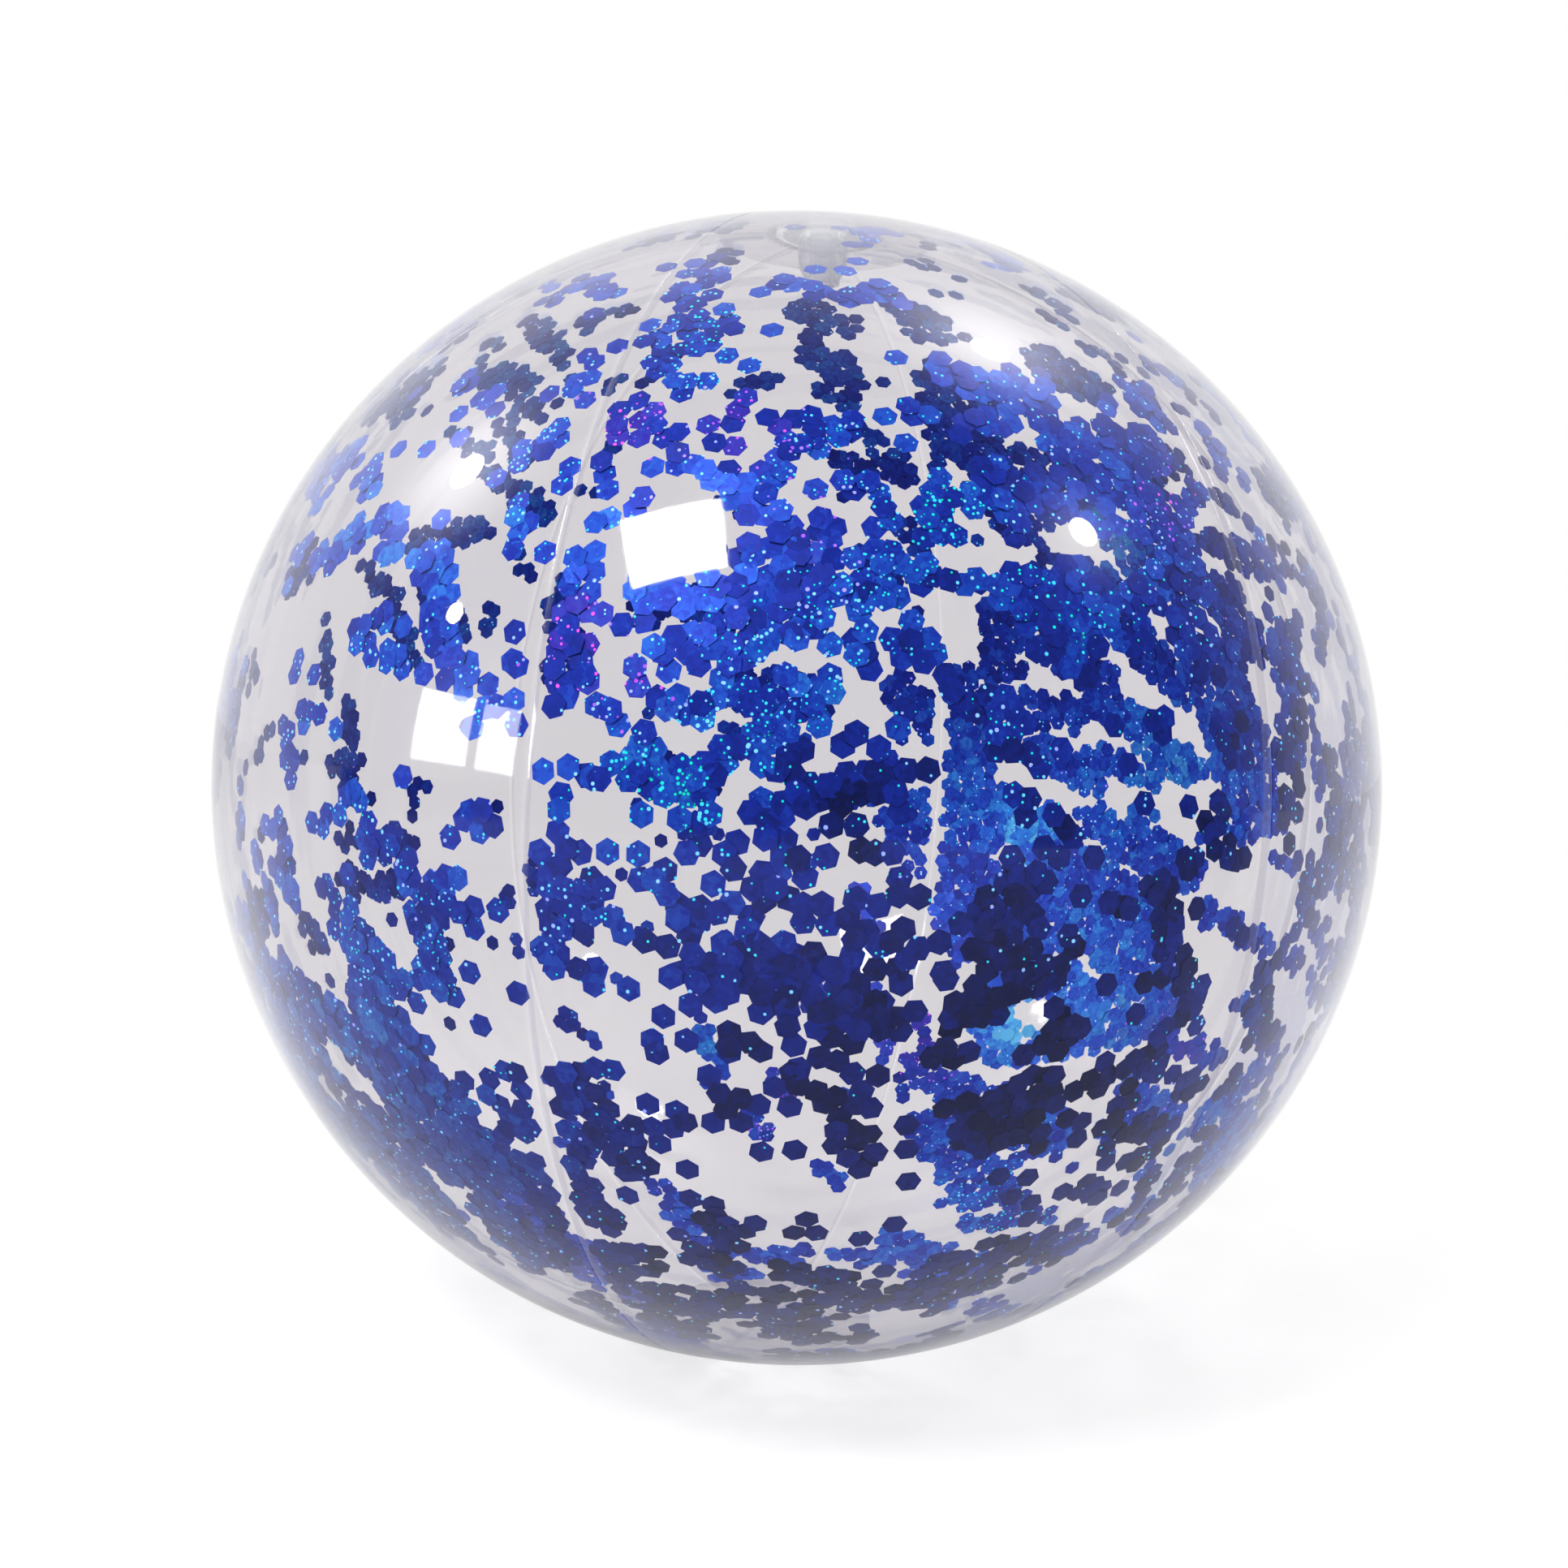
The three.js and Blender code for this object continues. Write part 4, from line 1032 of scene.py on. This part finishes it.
def makeFoilMaterial():
    material, tree = blankMaterial("blueFoil")
    tone, sparkle, hue, pick = (put(tree, "ShaderNodeAttribute", attribute_name=n).outputs["Fac"]
                                for n in ("tone", "sparkle", "hue", "pick"))
    place = put(tree, "ShaderNodeTexCoord").outputs["Object"]
    grain = put(tree, "ShaderNodeTexNoise", {
        "Vector": place, "Scale": foil["grainScale"], "Detail": foil["grainDetail"]}).outputs["Fac"]
    cells = put(tree, "ShaderNodeTexVoronoi", {
        "Vector": place, "Scale": foil["cellScale"], "Randomness": 1.0})
    first, second, third = put(tree, "ShaderNodeSeparateColor", {"Color": cells.outputs["Color"]}).outputs[:3]

    def centred(value, middle, amount):
        return calc(tree, "MULTIPLY", calc(tree, "SUBTRACT", value, middle), amount)

    mottle = centred(calc(tree, "ADD", grain, third), 1.0, foil["mottle"])
    # blue level with its painted light and shade, shifted from flake to flake and mottled
    level = calc(tree, "ADD", calc(tree, "ADD", tone, centred(pick, 0.5, foil["pickShift"])), mottle)
    leaning = calc(tree, "MULTIPLY_ADD", pick, foil["violetPick"], hue)
    violetShare = remap(tree, leaning, *foil["violetRange"], 0, foil["violetMost"])
    plain = mixColours(tree, violetShare, ramp(tree, level, foil["blues"]), foil["violet"])
    # painted glints: coloured dots on chosen flakes, glowing through the emission
    reach = calc(tree, "MULTIPLY_ADD", second, foil["dotSpread"], foil["dotReach"])
    inside = calc(tree, "SUBTRACT", reach, cells.outputs["Distance"])
    dot = calc(tree, "MULTIPLY", inside, foil["dotEdge"], clamp=True)
    chosen = calc(tree, "MULTIPLY", sparkle, calc(tree, "ADD", pick, foil["glintChance"]))
    glint = calc(tree, "MULTIPLY", dot, calc(tree, "LESS_THAN", first, chosen))
    glintHue = calc(tree, "ADD", hue, centred(second, 0.5, foil["glintSpread"]))
    glintColour = ramp(tree, glintHue, foil["glints"])
    surface = put(tree, "ShaderNodeBsdfPrincipled", {
        "Base Color": mixColours(tree, glint, plain, glintColour), "Metallic": foil["metallic"],
        "Specular IOR Level": foil["specular"], "Emission Strength": foil["glintGlow"],
        "Emission Color": mixColours(tree, glint, (0, 0, 0, 1), glintColour),
        "Roughness": remap(tree, grain, 0.3, 0.7, *foil["roughness"])})
    finishMaterial(tree, surface.outputs[0])
    return material


blueFoil = makeFoilMaterial()


def makeScatterTree():
    tree = bpy.data.node_groups.new("flakeScatter", "GeometryNodeTree")
    tree.interface.new_socket("Wall", in_out="INPUT", socket_type="NodeSocketGeometry")
    ids = {}
    kinds = dict.fromkeys(("Across Flats", "Thickness", "Closest", "Densest", "Deepest", "Tilt"), "Float")
    for name, kind in {**kinds, "Seed": "Int", "Foil": "Material"}.items():
        socket = tree.interface.new_socket(name, in_out="INPUT", socket_type=f"NodeSocket{kind}")
        ids[name] = socket.identifier
    tree.interface.new_socket("Flakes", in_out="OUTPUT", socket_type="NodeSocketGeometry")
    given = put(tree, "NodeGroupInput").outputs

    def named(name):
        node = put(tree, "GeometryNodeInputNamedAttribute", {"Name": name}, data_type="FLOAT")
        return node.outputs["Attribute"]

    def chance(low, high, serial):
        seed = calc(tree, "ADD", given["Seed"], serial)
        return put(tree, "FunctionNodeRandomValue", {2: low, 3: high, "Seed": seed}).outputs[1]

    def vectors(operation, inputs):
        return put(tree, "ShaderNodeVectorMath", inputs, operation=operation).outputs[0]

    scattered = put(tree, "GeometryNodeDistributePointsOnFaces", {
        "Mesh": given["Wall"], "Distance Min": given["Closest"], "Density Max": given["Densest"],
        "Density Factor": named("cover"), "Seed": given["Seed"]},
        distribute_method="POISSON").outputs["Points"]
    single = put(tree, "GeometryNodeMeshToPoints", {
        "Mesh": given["Wall"], "Selection": named("single")}).outputs["Points"]
    both = put(tree, "GeometryNodeJoinGeometry")
    for points in (scattered, single):
        tree.links.new(points, both.inputs[0])
    place = put(tree, "GeometryNodeInputPosition").outputs[0]
    away = vectors("SUBTRACT", {0: place, 1: ballCentre.tolist()})
    scale = [ball["equatorRadius"] ** -2, ball["equatorRadius"] ** -2, ball["poleRadius"] ** -2]
    outward = vectors("NORMALIZE", {0: vectors("MULTIPLY", {0: away, 1: scale})})
    depth = calc(tree, "MULTIPLY", chance(-1.0, 0.0, 1), given["Deepest"])
    sunk = vectors("SCALE", {0: outward, "Scale": depth})
    settled = put(tree, "GeometryNodeSetPosition", {"Geometry": both.outputs[0], "Offset": sunk}).outputs[0]
    marked = put(tree, "GeometryNodeStoreNamedAttribute", {
        "Geometry": settled, "Name": "pick", "Value": chance(0.0, 1.0, 2)},
        data_type="FLOAT", domain="POINT").outputs[0]
    lying = put(tree, "FunctionNodeAlignRotationToVector", {"Vector": outward}, axis="Z").outputs[0]
    lean = [calc(tree, "MULTIPLY", chance(-1.0, 1.0, serial), given["Tilt"]) for serial in (3, 4)]
    spin = put(tree, "ShaderNodeCombineXYZ", {
        "X": lean[0], "Y": lean[1], "Z": chance(0.0, math.pi / 3, 5)}).outputs[0]
    spun = put(tree, "FunctionNodeEulerToRotation", {"Euler": spin}).outputs[0]
    attitude = put(tree, "FunctionNodeRotateRotation", {
        "Rotation": lying, "Rotate By": spun}, rotation_space="LOCAL").outputs[0]
    corner = calc(tree, "DIVIDE", given["Across Flats"], math.sqrt(3))
    flake = put(tree, "GeometryNodeMeshCylinder", {
        "Vertices": 6, "Radius": corner, "Depth": given["Thickness"]})
    laid = put(tree, "GeometryNodeInstanceOnPoints", {
        "Points": marked, "Instance": flake.outputs["Mesh"], "Rotation": attitude,
        "Scale": (1, 1, 1)}).outputs[0]
    real = put(tree, "GeometryNodeRealizeInstances", {"Geometry": laid}).outputs[0]
    covered = put(tree, "GeometryNodeSetMaterial", {"Geometry": real, "Material": given["Foil"]}).outputs[0]
    put(tree, "NodeGroupOutput", {"Flakes": covered})
    return tree, ids


scatterTree, scatterInputs = makeScatterTree()


def goreOf(points):
    angle = np.arctan2(points[:, 0], -points[:, 1]) - ball["frontSeam"]
    return (np.floor(angle / goreAngle) % ball["goreCount"]).astype(int) + 1


singleSpots = np.array([wallSpot(x, y) for x, y in nearSingles])
singleGores = goreOf(singleSpots)


def makeFlakes(gore):
    high = flakes["wallReach"]
    rowCount = int(ball["poleRadius"] * 2 * high / flakes["wallStep"])
    radius, height, outR, outZ = (a[:, None] for a in meridian(np.linspace(-high, high, rowCount)))
    columns = int(ball["equatorRadius"] * goreAngle / flakes["wallStep"])
    reach = goreAngle / 2 - np.arcsin(flakes["seamClear"] / radius)
    turn = reach * np.linspace(-1, 1, columns)[None, :]
    fromSeam = radius * np.sin(goreAngle / 2 - np.abs(turn))
    dip = film["seamDip"] * np.exp(-fromSeam / film["dipReach"])
    depth = film["thickness"] + flakes["filmClear"] + dip
    wall = wallPoints(gore, turn, radius, height, outR, outZ, depth).reshape(-1, 3)
    mine = singleSpots[singleGores == gore]
    mine = mine - outwardAt(mine) * (film["thickness"] + flakes["singleClear"])
    points = np.concatenate([wall, mine])
    base = bpy.data.meshes.new("flakeWall")
    base.from_pydata(points.tolist(), [], gridFaces(rowCount, columns).tolist())
    for name, values in wallFields(points).items():
        setAttribute(base, name, values)
    setAttribute(base, "single", np.arange(len(points)) >= len(wall))
    carrier = bpy.data.objects.new("flakeWall", base)
    scene.collection.objects.link(carrier)
    scatter = carrier.modifiers.new("scatter", "NODES")
    scatter.node_group = scatterTree
    values = {
        "Across Flats": flakes["acrossFlats"], "Thickness": flakes["thickness"], "Closest": flakes["closest"],
        "Densest": flakes["densest"], "Deepest": flakes["deepest"], "Tilt": flakes["tilt"],
        "Seed": flakes["seed"] + gore, "Foil": blueFoil}
    for name, value in values.items():
        scatter[scatterInputs[name]] = value
    ready = carrier.evaluated_get(bpy.context.evaluated_depsgraph_get())
    mesh = bpy.data.meshes.new_from_object(ready)
    bpy.data.objects.remove(carrier)
    piece = bpy.data.objects.new(f"foilFlakes{gore}", mesh)
    mesh.name = piece.name
    scene.collection.objects.link(piece)
    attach(piece, "ball")
    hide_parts(*[f"glitter_{gore}_{row}" for row in range(1, 5)])
    print("flakes on gore", gore, len(mesh.polygons) // 8)


for gore in range(1, ball["goreCount"] + 1):
    makeFlakes(gore)


# Studio: pale floor, white surroundings, three soft panels and a few lamps

studio = {
    "floorSize": 40.0,
    "floorGrey": 0.3,
    "floorGlow": 0.76,
    "floorFade": (0.3, 1.2),  # from the ball, where the floor turns white
    "floorMirrored": (-0.25, 0.15),  # along Y, where it begins to show in the film
    "roomFront": 0.11,
    "roomBack": 1.0,
    "roomTurn": (-0.25, 0.45),  # along Y, from front to back
    # Corners of a panel as it shows on the near wall, in the photograph's pixels, its distance and glow
    "panels": [
        ([(757, 648), (889, 612), (897, 700), (786, 721)], 1.1, 42.0),
        ([(508, 850), (576, 862), (584, 945), (518, 930)], 1.4, 12.0),
        ([(588, 868), (640, 880), (642, 955), (594, 947)], 1.4, 12.0),
    ],
    # Round lamps: where they show on the near wall, and their width
    "lamps": [(1220, 430, 0.13), (1335, 655, 0.13), (575, 580, 0.15), (560, 755, 0.09)],
    "lampGlow": 50.0,
    "lampAway": 1.5,
    # Soft light about the lamps: where it shows on the near wall, strength and narrowness
    "halos": [(575, 580, 5.0, 75), (1220, 430, 3.5, 60), (1335, 655, 2.2, 130), (560, 880, 1.2, 70)],
    # Lights the flakes and isn't mirrored by the film
    "fill": {"place": (0.8, -1.3, 0.25), "size": 1.1, "glow": 2.7},
}


# The place from which a lamp shows at a pixel of the near wall
def lampPlace(x, y, away):
    spot = wallSpot(x, y)
    out, way = outwardAt(spot), sightLine(x, y)
    return spot + unit(way - 2 * np.dot(way, out) * out) * away, spot


def addLamp(name, place, axes, size, glow, shape="RECTANGLE"):
    data = bpy.data.lights.new(name, "AREA")
    data.shape = shape
    data.size, data.size_y = size
    data.energy = glow * math.pi * size[0] * size[1] * (math.pi / 4 if shape == "DISK" else 1)
    lamp = bpy.data.objects.new(name, data)
    lamp.matrix_world = Matrix.Translation(np.asarray(place).tolist()) @ axes.to_4x4()
    scene.collection.objects.link(lamp)
    return lamp


def aimed(place, target):
    return Vector((np.asarray(target) - place).tolist()).to_track_quat("-Z", "Y").to_matrix()


def addPanel(name, corners, away, glow):
    places, spots = zip(*[lampPlace(x, y, away) for x, y in corners])
    place, back = np.mean(places, axis=0), unit(np.mean(places, axis=0) - np.mean(spots, axis=0))
    across = (places[1] + places[2] - places[0] - places[3]) / 2
    upward = (places[0] + places[1] - places[2] - places[3]) / 2
    side = unit(across - back * np.dot(across, back))
    axes = Matrix(np.column_stack([side, np.cross(back, side), back]).tolist())
    addLamp(name, place, axes, (np.linalg.norm(across), np.linalg.norm(upward)), glow)


def makeFloor():
    material, tree = blankMaterial("studioFloor")
    rays = put(tree, "ShaderNodeLightPath").outputs
    place = put(tree, "ShaderNodeTexCoord").outputs["Object"]
    away = put(tree, "ShaderNodeVectorMath", {0: place}, operation="LENGTH").outputs["Value"]
    far = remap(tree, away, *studio["floorFade"])
    matt = put(tree, "ShaderNodeBsdfDiffuse", {"Color": (studio["floorGrey"],) * 3 + (1,)})
    back = put(tree, "ShaderNodeSeparateXYZ", {0: place}).outputs["Y"]
    mirrored = calc(tree, "MULTIPLY", rays["Is Glossy Ray"], remap(tree, back, *studio["floorMirrored"]))
    shown = calc(tree, "MAXIMUM", rays["Is Camera Ray"], mirrored)
    seen = calc(tree, "MULTIPLY", shown, studio["floorGlow"])
    glow = put(tree, "ShaderNodeEmission", {"Color": (1, 1, 1, 1), "Strength": seen})
    lit = put(tree, "ShaderNodeAddShader", {0: matt.outputs[0], 1: glow.outputs[0]})
    white = put(tree, "ShaderNodeEmission", {"Color": (1, 1, 1, 1), "Strength": 1.0})
    blank = calc(tree, "MULTIPLY", far, rays["Is Camera Ray"])
    mixed = put(tree, "ShaderNodeMixShader", {"Fac": blank, 1: lit.outputs[0], 2: white.outputs[0]})
    finishMaterial(tree, mixed.outputs[0])
    half = studio["floorSize"] / 2
    corners = [(-half, -half, 0), (half, -half, 0), (half, half, 0), (-half, half, 0)]
    floor = meshObject("studioFloor", corners, [(0, 1, 2, 3)], material, smooth=False)


def makeRoom():
    world = bpy.data.worlds.new("studioRoom")
    scene.world = world
    world.use_nodes = True
    tree = world.node_tree
    tree.nodes.clear()
    rays = put(tree, "ShaderNodeLightPath").outputs
    sight = put(tree, "ShaderNodeTexCoord").outputs["Generated"]
    way = put(tree, "ShaderNodeSeparateXYZ", {0: sight}).outputs["Y"]
    room = remap(tree, way, *studio["roomTurn"], studio["roomFront"], studio["roomBack"])
    for x, y, strength, narrowness in studio["halos"]:
        place, spot = lampPlace(x, y, studio["lampAway"])
        near = put(tree, "ShaderNodeVectorMath", {
            0: sight, 1: unit(place - spot).tolist()}, operation="DOT_PRODUCT").outputs["Value"]
        lobe = calc(tree, "POWER", calc(tree, "MAXIMUM", near, 0.0), float(narrowness))
        halo = calc(tree, "MULTIPLY", lobe, calc(tree, "MULTIPLY", rays["Is Glossy Ray"], strength))
        room = calc(tree, "ADD", room, halo)
    direct = calc(tree, "MAXIMUM", rays["Is Camera Ray"], rays["Is Transmission Ray"])
    level = put(tree, "ShaderNodeMix", {0: direct, 2: room, 3: 1.0}).outputs[0]
    glow = put(tree, "ShaderNodeBackground", {"Color": (1, 1, 1, 1), "Strength": level})
    put(tree, "ShaderNodeOutputWorld", {"Surface": glow.outputs[0]})


makeFloor()
makeRoom()
for number, panel in enumerate(studio["panels"], 1):
    addPanel(f"softPanel{number}", *panel)
for number, (x, y, size) in enumerate(studio["lamps"], 1):
    place, spot = lampPlace(x, y, studio["lampAway"])
    addLamp(f"roundLamp{number}", place, aimed(place, spot), (size, size), studio["lampGlow"], "DISK")
fill = studio["fill"]
fillTurn = aimed(fill["place"], ballCentre)
fillLamp = addLamp("fillLamp", fill["place"], fillTurn, (fill["size"],) * 2, fill["glow"])
fillLamp.visible_glossy = False
scene.view_settings.view_transform = "Standard"
scene.cycles.transparent_max_bounces = 32
print("studio lit")
